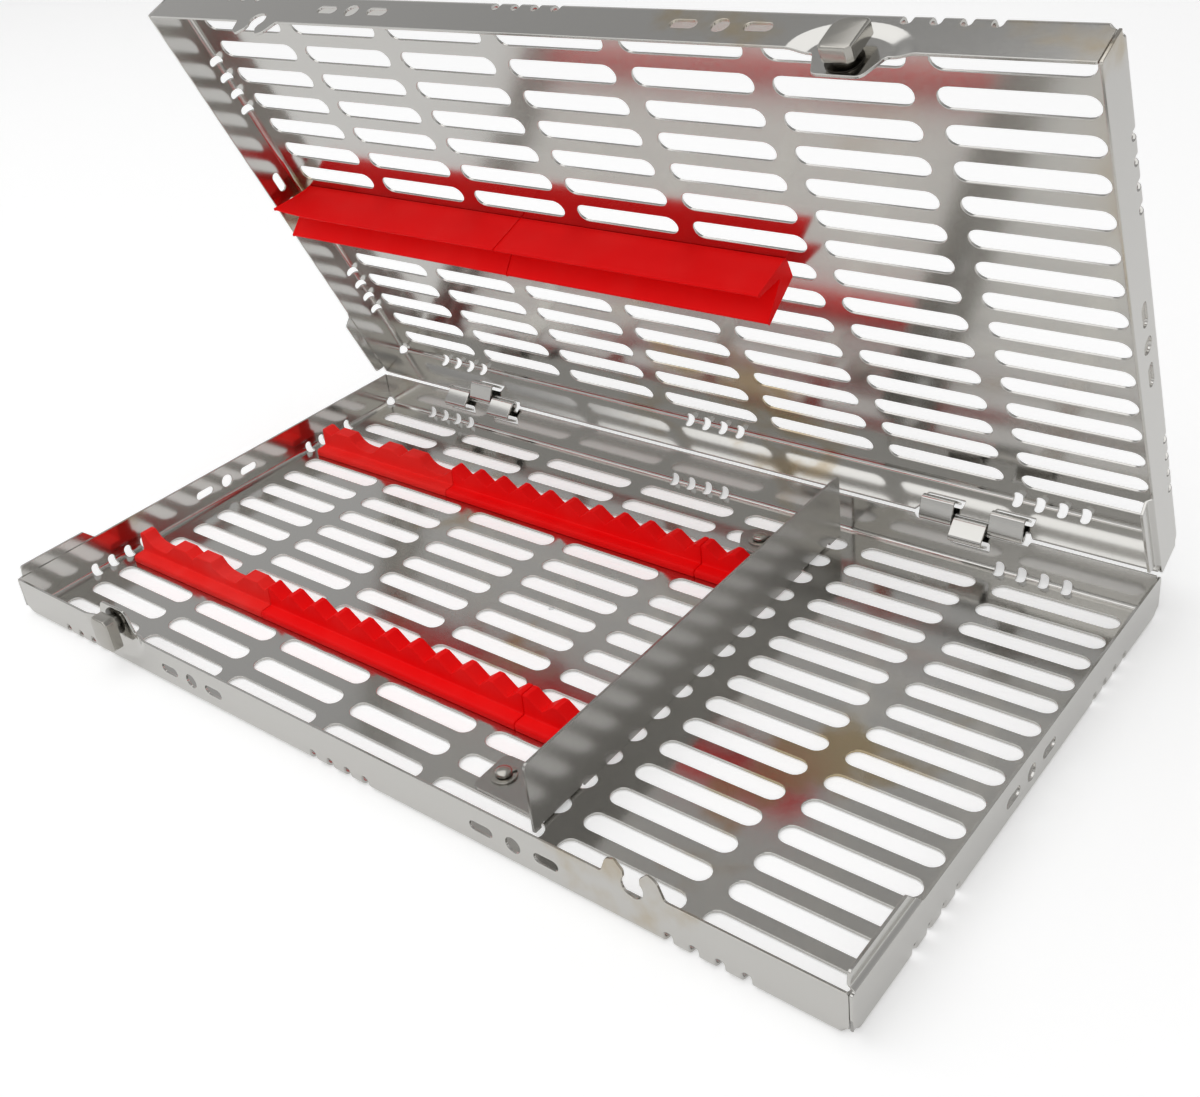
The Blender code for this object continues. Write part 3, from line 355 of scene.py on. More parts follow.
# Sheet parts
@dataclass
class Sheet:
    """A part cut from sheet as a flat blank and folded, with softened edges.

    The two skins are a triangulated blank, and a band with a rounded profile runs
    through the thickness along every cut edge.  Both are carried by the fold, and each
    normal is the fold's own, so flats stay flat to the eye.

    Attributes:
        name: piece name.
        place: tray coordinates to the frame.
        thickness: sheet thickness.
        round_edge: radius of the softened edges.
    """

    name: str
    place: Place
    thickness: float = SHEET
    round_edge: float = 0.17

    def outline(self) -> Array:
        """Outer edge of the blank."""
        raise NotImplementedError

    def holes(self) -> list[Array]:
        """Piercings of the blank."""
        return []

    def creases(self) -> list[Array]:
        """Open lines that triangles must not cross."""
        return []

    def fold(self, blank: Array, depth: Array) -> Array:
        """Blank points (n, 2) and depths (n,) below the inner face to tray coordinates."""
        raise NotImplementedError

    def normal(self, blank: Array, depth: Array, direction: Array) -> Array:
        """Frame normals of a surface whose normal in (blank, depth) space is given.

        The fold's three partial derivatives are taken by central differences; a covector
        (a, b, c) maps to a * (Pv x Pd) + b * (Pd x Px) + c * (Px x Pv).
        """
        h = 0.01
        step = []
        for dx, dv, dd in ((h, 0, 0), (0, h, 0), (0, 0, h)):
            high = self.place(self.fold(blank + (dx, dv), depth + dd))
            low = self.place(self.fold(blank - (dx, dv), depth - dd))
            step.append(high - low)
        px, pv, pd = step
        n = direction[:, :1] * np.cross(pv, pd) + direction[:, 1:2] * np.cross(pd, px)
        n = n + direction[:, 2:] * np.cross(px, pv)
        n *= np.sign((np.cross(px, pv) * pd).sum(1))[:, None]
        return n / np.maximum(np.linalg.norm(n, axis=1), 1e-20)[:, None]

    def blank(self) -> tuple[Array, Array]:
        """Triangulated material of the blank, short of its edges by the rounding.

        Returns:
            Points (n, 2) and triangles (m, 3).
        """
        r = self.round_edge
        loops = [grown(counter_clockwise(self.outline()), -r)]
        loops += [grown(counter_clockwise(hole), r) for hole in self.holes()]
        points: list[Vector] = []
        rings, edges = [], []
        for loop in loops:
            rings.append(list(range(len(points), len(points) + len(loop))))
            points += list(map(Vector, loop.tolist()))
        for line in self.creases():
            first = len(points)
            points += list(map(Vector, line.tolist()))
            edges += [(first + k, first + k + 1) for k in range(len(line) - 1)]
        found, _, triangles, _, _, owners = delaunay_2d_cdt(points, edges, rings, 1, 1e-5)
        tris = np.array([t for t, own in zip(triangles, owners) if 0 in own and max(own) == 0])
        used, index = np.unique(tris, return_inverse=True)
        return np.array([tuple(p) for p in found])[used], index.reshape(tris.shape)

    def build(self) -> bpy.types.Object:
        """Fold the blank and write the mesh.

        The rim is made of the triangle sides that have no neighbour.  The band carries
        each of its points outward along its mitre, through a quarter turn at each skin.
        """
        flat, tris = self.blank()
        n, t, r = len(flat), self.thickness, self.round_edge
        ends = np.concatenate([tris[:, [0, 1]], tris[:, [1, 2]], tris[:, [2, 0]]])
        keys = set(map(tuple, ends.tolist()))
        rim = np.array([e for e in ends.tolist() if (e[1], e[0]) not in keys])
        side = flat[rim[:, 1]] - flat[rim[:, 0]]
        side = np.stack([side[:, 1], -side[:, 0]], 1) / np.linalg.norm(side, axis=1)[:, None]
        total = np.zeros((n, 2))
        np.add.at(total, rim[:, 0], side)
        np.add.at(total, rim[:, 1], side)
        edge = np.unique(rim)
        out = total[edge]
        unit = out / np.linalg.norm(out, axis=1)[:, None]
        mitre = mitres(out, 1.2)

        a = np.radians([30, 60, 90])
        offset = np.concatenate([r * np.sin(a), (r * np.sin(a))[::-1]])
        depth = np.concatenate([r - r * np.cos(a), (t - r + r * np.cos(a))[::-1]])
        lean = np.concatenate([np.sin(a), np.sin(a)[::-1]])
        up = np.concatenate([-np.cos(a), np.cos(a)[::-1]])

        rows = len(offset)
        band = (flat[edge][None] + mitre[None] * offset[:, None, None]).reshape(-1, 2)
        band_depth = np.repeat(depth, len(edge))
        band_up = np.broadcast_to(up[:, None, None], (rows, len(edge), 1))
        band_dir = np.concatenate([unit[None] * lean[:, None, None], band_up], 2)
        blank = np.concatenate([flat, flat, band])
        depths = np.concatenate([np.zeros(n), np.full(n, t), band_depth])
        flat_dir = np.zeros((n, 3)) + (0, 0, 1)
        direction = np.concatenate([-flat_dir, flat_dir, band_dir.reshape(-1, 3)])
        points = self.place(self.fold(blank, depths))
        normals = self.normal(blank, depths, direction)

        order = np.full(n, -1)
        order[edge] = np.arange(len(edge))
        levels = [rim] + [order[rim] + 2 * n + k * len(edge) for k in range(rows)] + [rim + n]
        quads = np.concatenate([np.hstack([low[:, ::-1], high]) for low, high in zip(levels, levels[1:])])
        faces = [tris, tris[:, ::-1] + n, quads]
        p0, p1, p2 = (points[tris[:, k]] for k in range(3))
        facing = (np.cross(p1 - p0, p2 - p0) * normals[tris[:, 0]]).sum()
        if facing < 0:
            faces = [f[:, ::-1] for f in faces]
        return write_mesh(self.name, points, faces, normals)


@dataclass
class HalfTray(Sheet):
    """One half tray with its straps, fork, latch ear and side tabs.

    Attributes:
        straps: x ranges of its own hinge straps.
        fork_x, ear_x: middles of the fork and of the latch ear.
        tab: (v at foot, v at top, v at top, v at foot) of the side tabs.
        dish_a, dish_b: half axes of the ellipse round the ear that is set in fully.
        dish_outer: how many times that ellipse the dish reaches before it has run out.
        wall_run: how far the walls' ends run past the floor's tangents at a corner.
        run_in: half width of wall edge that a fork or an ear takes up.
        tab_bend: height over which a side tab's set runs in.
        mark_w, mark_step: level of the marks, and pitch from a hole to its slots.
    """

    straps: tuple[Pair, ...] = ()
    fork_x: float = LATCH_X
    ear_x: float = -LATCH_X
    tab: tuple[float, float, float, float] = (0, 0, 0, 0)
    dish_a: float = 9.7
    dish_b: float = 5.9
    dish_outer: float = 1.6
    wall_run: float = 1.25
    run_in: float = 12.0
    tab_bend: float = 1.2
    mark_w: float = 7.0
    mark_step: float = 10.1

    @staticmethod
    def on_wall(wall: Wall, along: float | Array, w: float | Array) -> Array:
        """Blank position of a wall point at height w."""
        reach = BEND_LENGTH + (HALF_HEIGHT - BEND_OUTER) - np.asarray(w, float)
        along = np.broadcast_to(along, reach.shape).astype(float)
        if wall is Wall.FRONT:
            return np.stack([along, V_TANGENT_FRONT + reach], -1)
        if wall is Wall.BACK:
            return np.stack([along, V_TANGENT_BACK - reach], -1)
        sign = 1 if wall is Wall.RIGHT else -1
        return np.stack([sign * (X_TANGENT + reach), along], -1)

    def dish(self, x: Array, w: Array) -> Array:
        """Set of the ear and its surround: full inside an ellipse, easing out round it."""
        s = np.hypot((x - self.ear_x) / self.dish_a, np.maximum(0, w - EDGE_INSET) / self.dish_b)
        return DISH * ease((self.dish_outer - s) / (self.dish_outer - 1))

    def fold(self, blank: Array, depth: Array) -> Array:
        """Quarter-round bends at the floor's four sides, then straight walls.

        The wall is the one whose tangent the point lies furthest past.  Past the bend the
        ear's surround and the tabs are set in, and a strap follows its own path.
        """
        x, v = blank[:, 0].copy(), blank[:, 1].copy()
        past = np.stack([v - V_TANGENT_FRONT, V_TANGENT_BACK - v, x - X_TANGENT, -x - X_TANGENT])
        wall, d = past.argmax(0), past.max(0)
        a = np.clip(d, 0, BEND_LENGTH) / BEND_NEUTRAL
        out = (BEND_INNER + depth) * np.sin(a)
        w = HALF_HEIGHT - BEND_OUTER + (BEND_INNER + depth) * np.cos(a) - np.maximum(d - BEND_LENGTH, 0)
        straight, folded = d > BEND_LENGTH, d > 0
        front, back = folded & (wall == Wall.FRONT.value), folded & (wall == Wall.BACK.value)
        side = folded & (wall >= Wall.RIGHT.value)
        out = out - np.where(front & straight, self.dish(x, w), 0)
        out = out - np.where(side & straight, DISH * ease((EDGE_INSET - w) / self.tab_bend), 0)
        on_strap, slack = np.zeros(len(x), bool), 0.04
        for low, high in self.straps:
            on_strap |= (x > low - slack) & (x < high + slack)
        on_strap &= back & (w < CUT_W)
        path_v, path_w = STRAP.at(CUT_W - w, depth - SHEET / 2)
        v = np.where(front, V_TANGENT_FRONT + out, np.where(back, V_TANGENT_BACK - out, v))
        x = np.where(side, np.where(wall == Wall.RIGHT.value, 1, -1) * (X_TANGENT + out), x)
        return np.stack([x, np.where(on_strap, path_v, v), np.where(on_strap, path_w, w)], -1)

    def corner(self, sx: int, front: bool, radius: float = 2.3, offset: float = 1.4) -> Array:
        """Round relief at a bottom corner, from the long wall to the side wall."""
        tangent, sv = (V_TANGENT_FRONT, 1) if front else (V_TANGENT_BACK, -1)
        rise = math.sqrt(radius**2 - (offset - self.wall_run) ** 2)
        run = math.sqrt(radius**2 - (BEND_OUTER - offset) ** 2)
        first = math.atan2(rise, self.wall_run - offset)
        last = math.atan2(BEND_OUTER - offset, run) + math.tau
        arc = offset + radius * spokes(np.linspace(first, last, 27))
        return arc * (sx, sv) + (sx * X_TANGENT, tangent)

    def fork(self) -> Array:
        """Keyhole fork of the front wall: round seat, narrow neck, flared mouth, blunt horns."""
        seat_r, neck = 3.0, 2.25
        a = math.acos(neck / seat_r)
        seat = seat_r * spokes(np.linspace(math.pi + a, -a, 22)) + (0, -PIVOT_W)
        horn = [(-self.run_in, EDGE_INSET), (-8.7, EDGE_INSET), (-6.9, -4.0), (-4.4, -5.0)]
        horn += [(-neck, -2.6), (-neck, -1.2), (-neck, 0.5)]
        arc = fillet(np.array(horn), np.array([1.2, 2.2, 1.0, 0.8, 0.1]), closed=False)[1:-1]
        return np.vstack([arc, seat, arc[::-1] * (-1, 1)])

    def ear(self) -> Array:
        """Latch ear of the front wall, a rounded tongue."""
        half = np.array([(-self.run_in, EDGE_INSET), (-8.75, EDGE_INSET), (-5.9, -6.0)])
        tongue = np.vstack([half, half[::-1] * (-1, 1)])
        return fillet(tongue, np.array([1.2, 2.2, 2.2, 1.2]), closed=False)[1:-1]

    def outline(self) -> Array:
        """Whole outer edge, from the back wall's left end round to the left side wall."""
        end = X_TANGENT + self.wall_run
        first = [(-end, 6.0), (-end, EDGE_INSET), (-end + 3, EDGE_INSET)]
        back: list[Array] = [fillet(first, 0.6, 4, closed=False)]
        for side in ("left", "right"):
            x0, x1 = strap_span(side, -1)[0], strap_span(side, 1)[1]
            cut = [(x0 - 2.2, EDGE_INSET), (x0 - 1.2, CUT_W)]
            for low, high in self.straps:
                if x0 - 1 < low < x1:
                    tip = CUT_W - STRAP.lengths[-1]
                    cut += [(low, CUT_W), (low, tip), (high, tip), (high, CUT_W)]
            cut += [(x1 + 1.2, CUT_W), (x1 + 2.2, EDGE_INSET)]
            loop = np.array([(x0 - 6, EDGE_INSET)] + cut + [(x1 + 6, EDGE_INSET)])
            back.append(fillet(loop, 0.45, 4, closed=False)[1:-1])
        back.append(back[0][::-1] * (-1, 1))
        features = sorted([(self.fork_x, self.fork()), (self.ear_x, self.ear())], key=lambda item: item[0])
        front = [back[0]] + [shape + (middle, 0) for middle, shape in features] + [back[-1]]
        edges = {}
        for wall, pieces in ((Wall.BACK, back), (Wall.FRONT, front)):
            edges[wall] = np.vstack([self.on_wall(wall, p[:, 0], p[:, 1]) for p in pieces])
        foot0, top0, top1, foot1 = self.tab
        tab = [(BACK, 6.0), (BACK, EDGE_INSET), (foot0, EDGE_INSET), (top0, -3.8)]
        tab += [(top1, -3.8), (foot1, EDGE_INSET), (FRONT, EDGE_INSET), (FRONT, 6.0)]
        shape = fillet(tab, np.array([0.6, 1.0, 0.8, 0.8, 0.4, 0.6]), closed=False)
        for wall in (Wall.RIGHT, Wall.LEFT):
            edges[wall] = self.on_wall(wall, shape[:, 0], shape[:, 1])
        right = [self.corner(1, False), edges[Wall.RIGHT], self.corner(1, True)[::-1]]
        left = [self.corner(-1, True), edges[Wall.LEFT][::-1], self.corner(-1, False)[::-1]]
        return np.vstack([edges[Wall.BACK], *right, edges[Wall.FRONT][::-1], *left])

    def reliefs(self) -> list[Array]:
        """Small slots across the folds, in groups of four."""
        low, high, width, pitch = -1.3, 4.6, 2.6, 6.65
        upright = stadium(0, (low + high) / 2, high - low, width, upright=True, steps=8)
        found = []
        for step in (np.arange(4) - 1.5) * pitch:
            for x in (-115.2, 0.0, 115.2):
                found.append(upright + (x + step, V_TANGENT_FRONT))
                found.append(upright * (1, -1) + (x + step, V_TANGENT_BACK))
            for v in (SLOT_MID_V - 48.4, SLOT_MID_V + 48.4):
                for sign in (1, -1):
                    found.append(upright[:, ::-1] * (sign, 1) + (sign * X_TANGENT, v + step))
        return found

    def marks(self) -> list[Array]:
        """Slot, hole and slot in the front wall, twice, and in each side wall."""
        places = [(Wall.FRONT, x) for x in (-61.2, 61.2)]
        places += [(wall, SLOT_MID_V) for wall in (Wall.RIGHT, Wall.LEFT)]
        found = []
        for wall, along in places:
            middle = self.on_wall(wall, along, self.mark_w)
            found.append(ring(*middle, 2.3, 24))
            for step in (-self.mark_step, self.mark_step):
                side = wall is not Wall.FRONT
                moved = middle + ((0, step) if side else (step, 0))
                found.append(stadium(*moved, 7.4, 3.0, upright=side))
        return found

    def holes(self) -> list[Array]:
        """Slot field, relief slots, marks, strap windows and the latch's hole."""
        found = []
        for x in column_x(np.arange(SLOT_COLUMNS)):
            found += [stadium(x, row_v(row), SLOT_LENGTH, SLOT_WIDTH) for row in range(SLOT_ROWS)]
        found += self.reliefs() + self.marks()
        for low, high in self.straps:
            across = np.array([low - 0.9, high + 0.9, high + 0.9, low - 0.9])
            window = self.on_wall(Wall.BACK, across, np.array([7.5, 7.5, 4.4, 4.4]))
            found.append(fillet(counter_clockwise(window), 0.6))
        found.append(ring(*self.on_wall(Wall.FRONT, self.ear_x, PIVOT_W), 2.15, 24))
        return found

    def creases(self) -> list[Array]:
        """Lines along the bends, round the dished ear, across the tabs and the straps."""
        found = []
        end = X_TANGENT + self.wall_run
        for d in np.linspace(0, BEND_LENGTH, 9):
            for x in (X_TANGENT + d, -X_TANGENT - d):
                found.append(np.array([(x, BACK + 1), (x, FRONT - 1)]))
            found.append(np.array([(-end, V_TANGENT_FRONT + d), (end, V_TANGENT_FRONT + d)]))
            found.append(np.array([(-end, V_TANGENT_BACK - d), (end, V_TANGENT_BACK - d)]))
        a = np.linspace(0, math.pi, 25)
        for scale in np.linspace(1, self.dish_outer, 7):
            x = self.ear_x - self.dish_a * scale * np.cos(a)
            arc = self.on_wall(Wall.FRONT, x, EDGE_INSET + self.dish_b * scale * np.sin(a))
            rise = self.on_wall(Wall.FRONT, x[[0, -1]], np.full(2, EDGE_INSET - 3))
            found.append(np.vstack([rise[:1], arc, rise[1:]]))
        across = np.array([self.tab[0] - 2, self.tab[3] + 2])
        for wall in (Wall.RIGHT, Wall.LEFT):
            for w in np.linspace(EDGE_INSET, EDGE_INSET - self.tab_bend, 7):
                found.append(self.on_wall(wall, across, np.full(2, w)))
        for low, high in self.straps:
            for s in STRAP.lengths[:-1]:
                found.append(self.on_wall(Wall.BACK, np.array([low, high]), np.full(2, CUT_W - s)))
        return found


# Solid pieces
def shell(loops: Array, place: Place, joined: bool = False) -> Skin:
    """Closed skin over a stack of loops.

    Point (i, j) of the grid is point j of loop i.  Quads join neighbouring loops, and the
    first and last loop are filled flat, or joined to each other for a part with a hole.
    Where the volume, the sum of a . (b x c) / 6 over the triangles, comes out negative,
    every face is turned round.

    Args:
        loops: (m, n, 3) in tray coordinates.
        place: tray coordinates to the frame.
        joined: the last loop runs on into the first.

    Returns:
        Points in metres and the face arrays.
    """
    rows, count = loops.shape[:2]
    points = place(loops.reshape(-1, 3))
    index = np.arange(rows * count).reshape(rows, count)
    low, high = (index, np.roll(index, -1, 0)) if joined else (index[:-1], index[1:])
    quads = np.stack([low, np.roll(low, -1, 1), np.roll(high, -1, 1), high], -1).reshape(-1, 4)
    caps = [np.zeros((0, 3), int)]
    for row, sign in () if joined else ((index[0], -1), (index[-1], 1)):
        rim = points[row]
        tris = np.array(tessellate_polygon([[Vector(p) for p in rim.tolist()]]))
        corner = rim[tris]
        area = np.cross(corner[:, 1] - corner[:, 0], corner[:, 2] - corner[:, 0]).sum(0)
        turn = np.cross(rim, np.roll(rim, -1, 0)).sum(0)
        caps.append(row[tris] if (area @ turn) * sign > 0 else row[tris[:, ::-1]])
    tris = np.concatenate([quads[:, :3], quads[:, [0, 2, 3]], *caps])
    a, b, c = (points[tris[:, k]] - points.mean(0) for k in range(3))
    faces = [quads] if joined else [quads, np.concatenate(caps)]
    if (a * np.cross(b, c)).sum() < 0:
        faces = [f[:, ::-1] for f in faces]
    return points, faces


def solid(name: str, *shells: Skin, sharp: float = 38.0) -> bpy.types.Object:
    """One piece of several closed skins, smooth except across angles above sharp degrees."""
    start = np.cumsum([0] + [len(points) for points, _ in shells])
    faces = [f + start[k] for k, (_, group) in enumerate(shells) for f in group]
    piece = write_mesh(name, np.concatenate([points for points, _ in shells]), faces)
    piece.data.set_sharp_from_angle(angle=math.radians(sharp))
    return piece


def turned(profile: Array, axis: str, middle: Pair, steps: int = 36) -> Array:
    """Loops of a turned part: circles of radius r at height h for each (r, h) of the profile.

    Args:
        profile: (m, 2) radii and heights along the axis.
        axis: "v", "w" or "x", the tray axis that it is turned about.
        middle: the other two tray coordinates of the axis, in the order x, v, w.
        steps: points round each circle.
    """
    a = np.arange(steps) * math.tau / steps
    one = middle[0] + profile[:, :1] * np.cos(a)
    two = middle[1] + profile[:, :1] * np.sin(a)
    height = np.broadcast_to(profile[:, 1:], one.shape)
    order = {"v": (one, height, two), "w": (one, two, height), "x": (height, one, two)}[axis]
    return np.stack(order, -1)


def rounded_end(r: float, steps: int = 3) -> tuple[Array, Array]:
    """Advance r (1 - cos a) and inset r (1 - sin a) of a rounded edge, from its end inward."""
    a = np.linspace(0, math.pi / 2, steps + 1)
    return r * (1 - np.cos(a)), r * (1 - np.sin(a))


def stretched(section: Callable[[Array], Array], stations: Array, r: float) -> Array:
    """Loops of a section carried along x, with rounded rims at both ends.

    Args:
        section: stations (m,) to points (m, n, 2), counter-clockwise as (v, w).
        stations: x of the loops between the two ends, ends included.
        r: radius of the rims.
    """
    ahead, inset = rounded_end(r)
    x0, x1 = stations[0], stations[-1]
    clear = r + 0.05
    inner = stations[(stations > x0 + clear) & (stations < x1 - clear)]
    x = np.concatenate([x0 + ahead, inner, x1 - ahead[::-1]])
    depth = np.concatenate([inset, np.zeros(len(inner)), inset[::-1]])
    loop = section(x)
    edge = np.roll(loop, -1, 1) - loop
    normal = np.stack([edge[..., 1], -edge[..., 0]], -1) / np.linalg.norm(edge, axis=2)[..., None]
    total = normal + np.roll(normal, 1, 1)
    loop = loop - depth[:, None, None] * mitres(total, 0.6)
    return np.concatenate([np.broadcast_to(x[:, None, None], (*loop.shape[:2], 1)), loop], 2)


def peg(x0: float, x1: float, v: float) -> Array:
    """Loops of a silicone peg in a floor slot, a rounded block between two levels."""
    half, rim = 2.3, 0.3
    outline = fillet(np.array([(x0, v - half), (x1, v - half), (x1, v + half), (x0, v + half)]), 1.6)
    ahead, inset = rounded_end(rim)
    top, low = FLOOR_INNER - 0.84, HALF_HEIGHT - 0.15
    loops = [grown(outline, -0.001), grown(outline, -0.002)]
    levels = [top, low - rim]
    for out, deep in zip(ahead[::-1][1:], inset[::-1][1:]):
        loops.append(grown(outline, -deep))
        levels.append(low - out)
    stack = np.stack(loops)
    height = np.broadcast_to(np.array(levels)[:, None, None], (*stack.shape[:2], 1))
    return np.concatenate([stack, height], 2)


def pegs(x0: float, x1: float, row: int, place: Place) -> list[Skin]:
    """Skins of a module's pegs, one in each slot that has room for it under the module.

    Args:
        x0, x1: ends of the module.
        row: slot row that takes the pegs.
        place: tray coordinates to the frame.
    """
    least, most, slot_play, end_play = 10.0, 14.0, 3.2, 1.5
    middles = column_x(np.arange(SLOT_COLUMNS))
    low = np.maximum(middles - SLOT_LENGTH / 2 + slot_play, x0 + end_play)
    high = np.minimum(middles + SLOT_LENGTH / 2 - slot_play, x1 - end_play)
    spans = [(a, min(b, a + most)) for a, b in zip(low, high) if b - a >= least]
    return [shell(peg(a, b, row_v(row)), place) for a, b in spans]


class Crest(Enum):
    """Kinds of rail module by the outline of their fin."""

    BLOCKS = "left"
    COMB = "middle"
    SHORT_COMB = "right"


@dataclass
class RailModule:
    """One module of a comb rail: a foot strip, a fin with a cut crest, and pegs.

    Attributes:
        name: piece name.
        crest: kind of crest.
        row: slot row that takes the pegs.
        x0, x1: ends.
        notch: first notch of a block crest, from x0.
        top: height of the fin over the foot's underside.
        tooth_pitch, tooth_depth, flat: of a comb, flat being half the width of a peak.
        block_pitch: from notch to notch.
        shift: how far the fin's datum lies behind the row's middle.
    """

    name: str
    crest: Crest
    row: int
    x0: float
    x1: float
    notch: float = 0.0
    top: float = 9.0
    tooth_pitch: float = 10.44
    tooth_depth: float = 3.4
    flat: float = 0.75
    block_pitch: float = 36.4
    shift: float = 0.8

    def comb(self) -> tuple[Array, Array]:
        """Corners (x, height) of a toothed crest and the radius of each.

        Each tooth has its flat round its peak, and a valley follows half a pitch later.
        The peaks run from end to end, or for a short comb over three teeth.
        """
        if self.crest is Crest.COMB:
            start, stop = self.x0 + 0.1, self.x1 - 0.7
            teeth = round((stop - start) / self.tooth_pitch) + 1
            peaks = np.linspace(start, stop, teeth)
        else:
            peaks = self.x0 + 0.8 + np.arange(3) * self.tooth_pitch
        x = (peaks[:, None] + (-self.flat, self.flat, self.tooth_pitch / 2)).reshape(-1)
        h = np.tile([self.top, self.top, self.top - self.tooth_depth], len(peaks))
        radius = np.tile([0.55, 0.55, 0.2], len(peaks))
        corners = np.vstack([[(self.x0 - 3.0, self.top)], np.stack([x, h], 1)])
        return corners, np.concatenate([[0.3], radius])

    def blocks(self) -> tuple[Array, Array]:
        """Corners of a crest of notched blocks with scallops between, and their radii."""
        block = [(-9.3, 0), (-2.9, 0), (0, 1.9), (2.9, 0), (10.4, 0)]
        scallop = [(12.4, 2.4), (14.9, 3.75), (18.0, 4.2), (21.5, 4.2)]
        unit = np.array(block + scallop)
        radii = np.array([0.5, 0.4, 0.25, 0.4, 0.7, 4.0, 5.0, 5.0, 3.0])
        first = self.x0 + self.notch + (np.arange(4) - 1) * self.block_pitch
        x = (first[:, None] + unit[:, 0]).reshape(-1)
        return np.stack([x, self.top - np.tile(unit[:, 1], 4)], 1), np.tile(radii, 4)

    def ridge(self) -> Array:
        """Rounded line (x, height) of the crest."""
        corners, radii = self.blocks() if self.crest is Crest.BLOCKS else self.comb()
        return fillet(corners, radii[1:-1], closed=False)

    def section(self, x: Array) -> Array:
        """Sections (v, w) at x: a fixed foot strip under a fin whose top follows the crest."""
        line = self.ridge()
        height = np.interp(x, line[:, 0], line[:, 1])
        front = [(-4.9, 0), (6.2, 0), (6.2, 2.45), (1.9, 2.65), (1.6, self.top)]
        rear = [(-3.5, self.top), (-3.7, 2.65), (-4.9, 2.45)]
        loop = fillet(np.array(front + rear), np.array([0.3, 0.3, 1.1, 0.5, 0.45, 0.35, 0.3, 0.8]))
        upper = (loop[:, 1] > self.top / 2)[None, :]
        h = loop[None, :, 1] + np.where(upper, height[:, None] - self.top, 0)
        v = row_v(self.row) - self.shift + np.broadcast_to(loop[None, :, 0], h.shape)
        return np.stack([v, SEAT - h], -1)[:, ::-1]

    def build(self) -> bpy.types.Object:
        """Carry the section along the crest and add the pegs."""
        line = self.ridge()[:, 0]
        inner = line[(line > self.x0 + 0.5) & (line < self.x1 - 0.5)]
        even = np.linspace(self.x0, self.x1, 2 + int((self.x1 - self.x0) / 4))
        stations = np.unique(np.round(np.concatenate([inner, even]), 3))
        body = shell(stretched(self.section, stations, 0.3), base_place)
        return solid(self.name, body, *pegs(self.x0, self.x1, self.row, base_place))


@dataclass
class BarModule:
    """One module of the lid's bar, with two thin lips and a deep valley between.

    Attributes:
        name: piece name.
        x0, x1: ends.
        flare: how far the upper lip's corner is pulled past the left end.
        flare_run: length of bar that the flare takes up.
        tip, root: levels of the lips' tips and of the valley.
        row: slot row that takes the pegs.
    """

    name: str
    x0: float
    x1: float
    flare: float = 0.0
    flare_run: float = 16.0
    tip: float = -2.7
    root: float = 8.7
    row: int = SLOT_ROWS // 2

    def section(self, x: Array) -> Array:
        """Sections (v, w) at x, the same all along."""
        tip, root, end = self.tip, self.root, self.tip - 0.05
        upper = [(4.4, SEAT), (4.6, root), (5.35, tip), (4.65, end), (1.6, root)]
        lower = [(-5.3, end), (-6.05, tip), (-3.5, root), (-2.6, SEAT)]
        loop = fillet(np.array(upper + lower), np.array([0.3, 2.0, 0.3, 0.3, 0.5, 0.3, 0.3, 2.0, 0.3]))
        return np.broadcast_to(loop + (row_v(self.row), 0), (len(x), *loop.shape)).copy()

    def build(self) -> bpy.types.Object:
        """Carry the section along, flare the end and add the pegs.

        The flare moves a point by flare * g^2 * f, with g falling from 1 at the end to 0
        over its run and f rising from the valley to each lip's tip; the lower lip moves
        less and only along the bar.
        """
        stations = np.linspace(self.x0, self.x1, 2 + int((self.x1 - self.x0) / 2))
        loops = stretched(self.section, stations, 0.25)
        g = np.clip(1 - (loops[..., 0] - self.x0) / self.flare_run, 0, 1) ** 2
        f = np.clip((self.root - loops[..., 2]) / (self.root - self.tip), 0, 1)
        above = loops[..., 1] > row_v(self.row) + 0.9
        upper, lower = (g * f * above)[..., None], (g * f * ~above)[..., None]
        loops = loops + self.flare * (upper * (-1.0, 0.45, 0.0) + lower * (-0.7, 0.0, 0.0))
        return solid(self.name, shell(loops, lid_place), *pegs(self.x0, self.x1, self.row, lid_place))


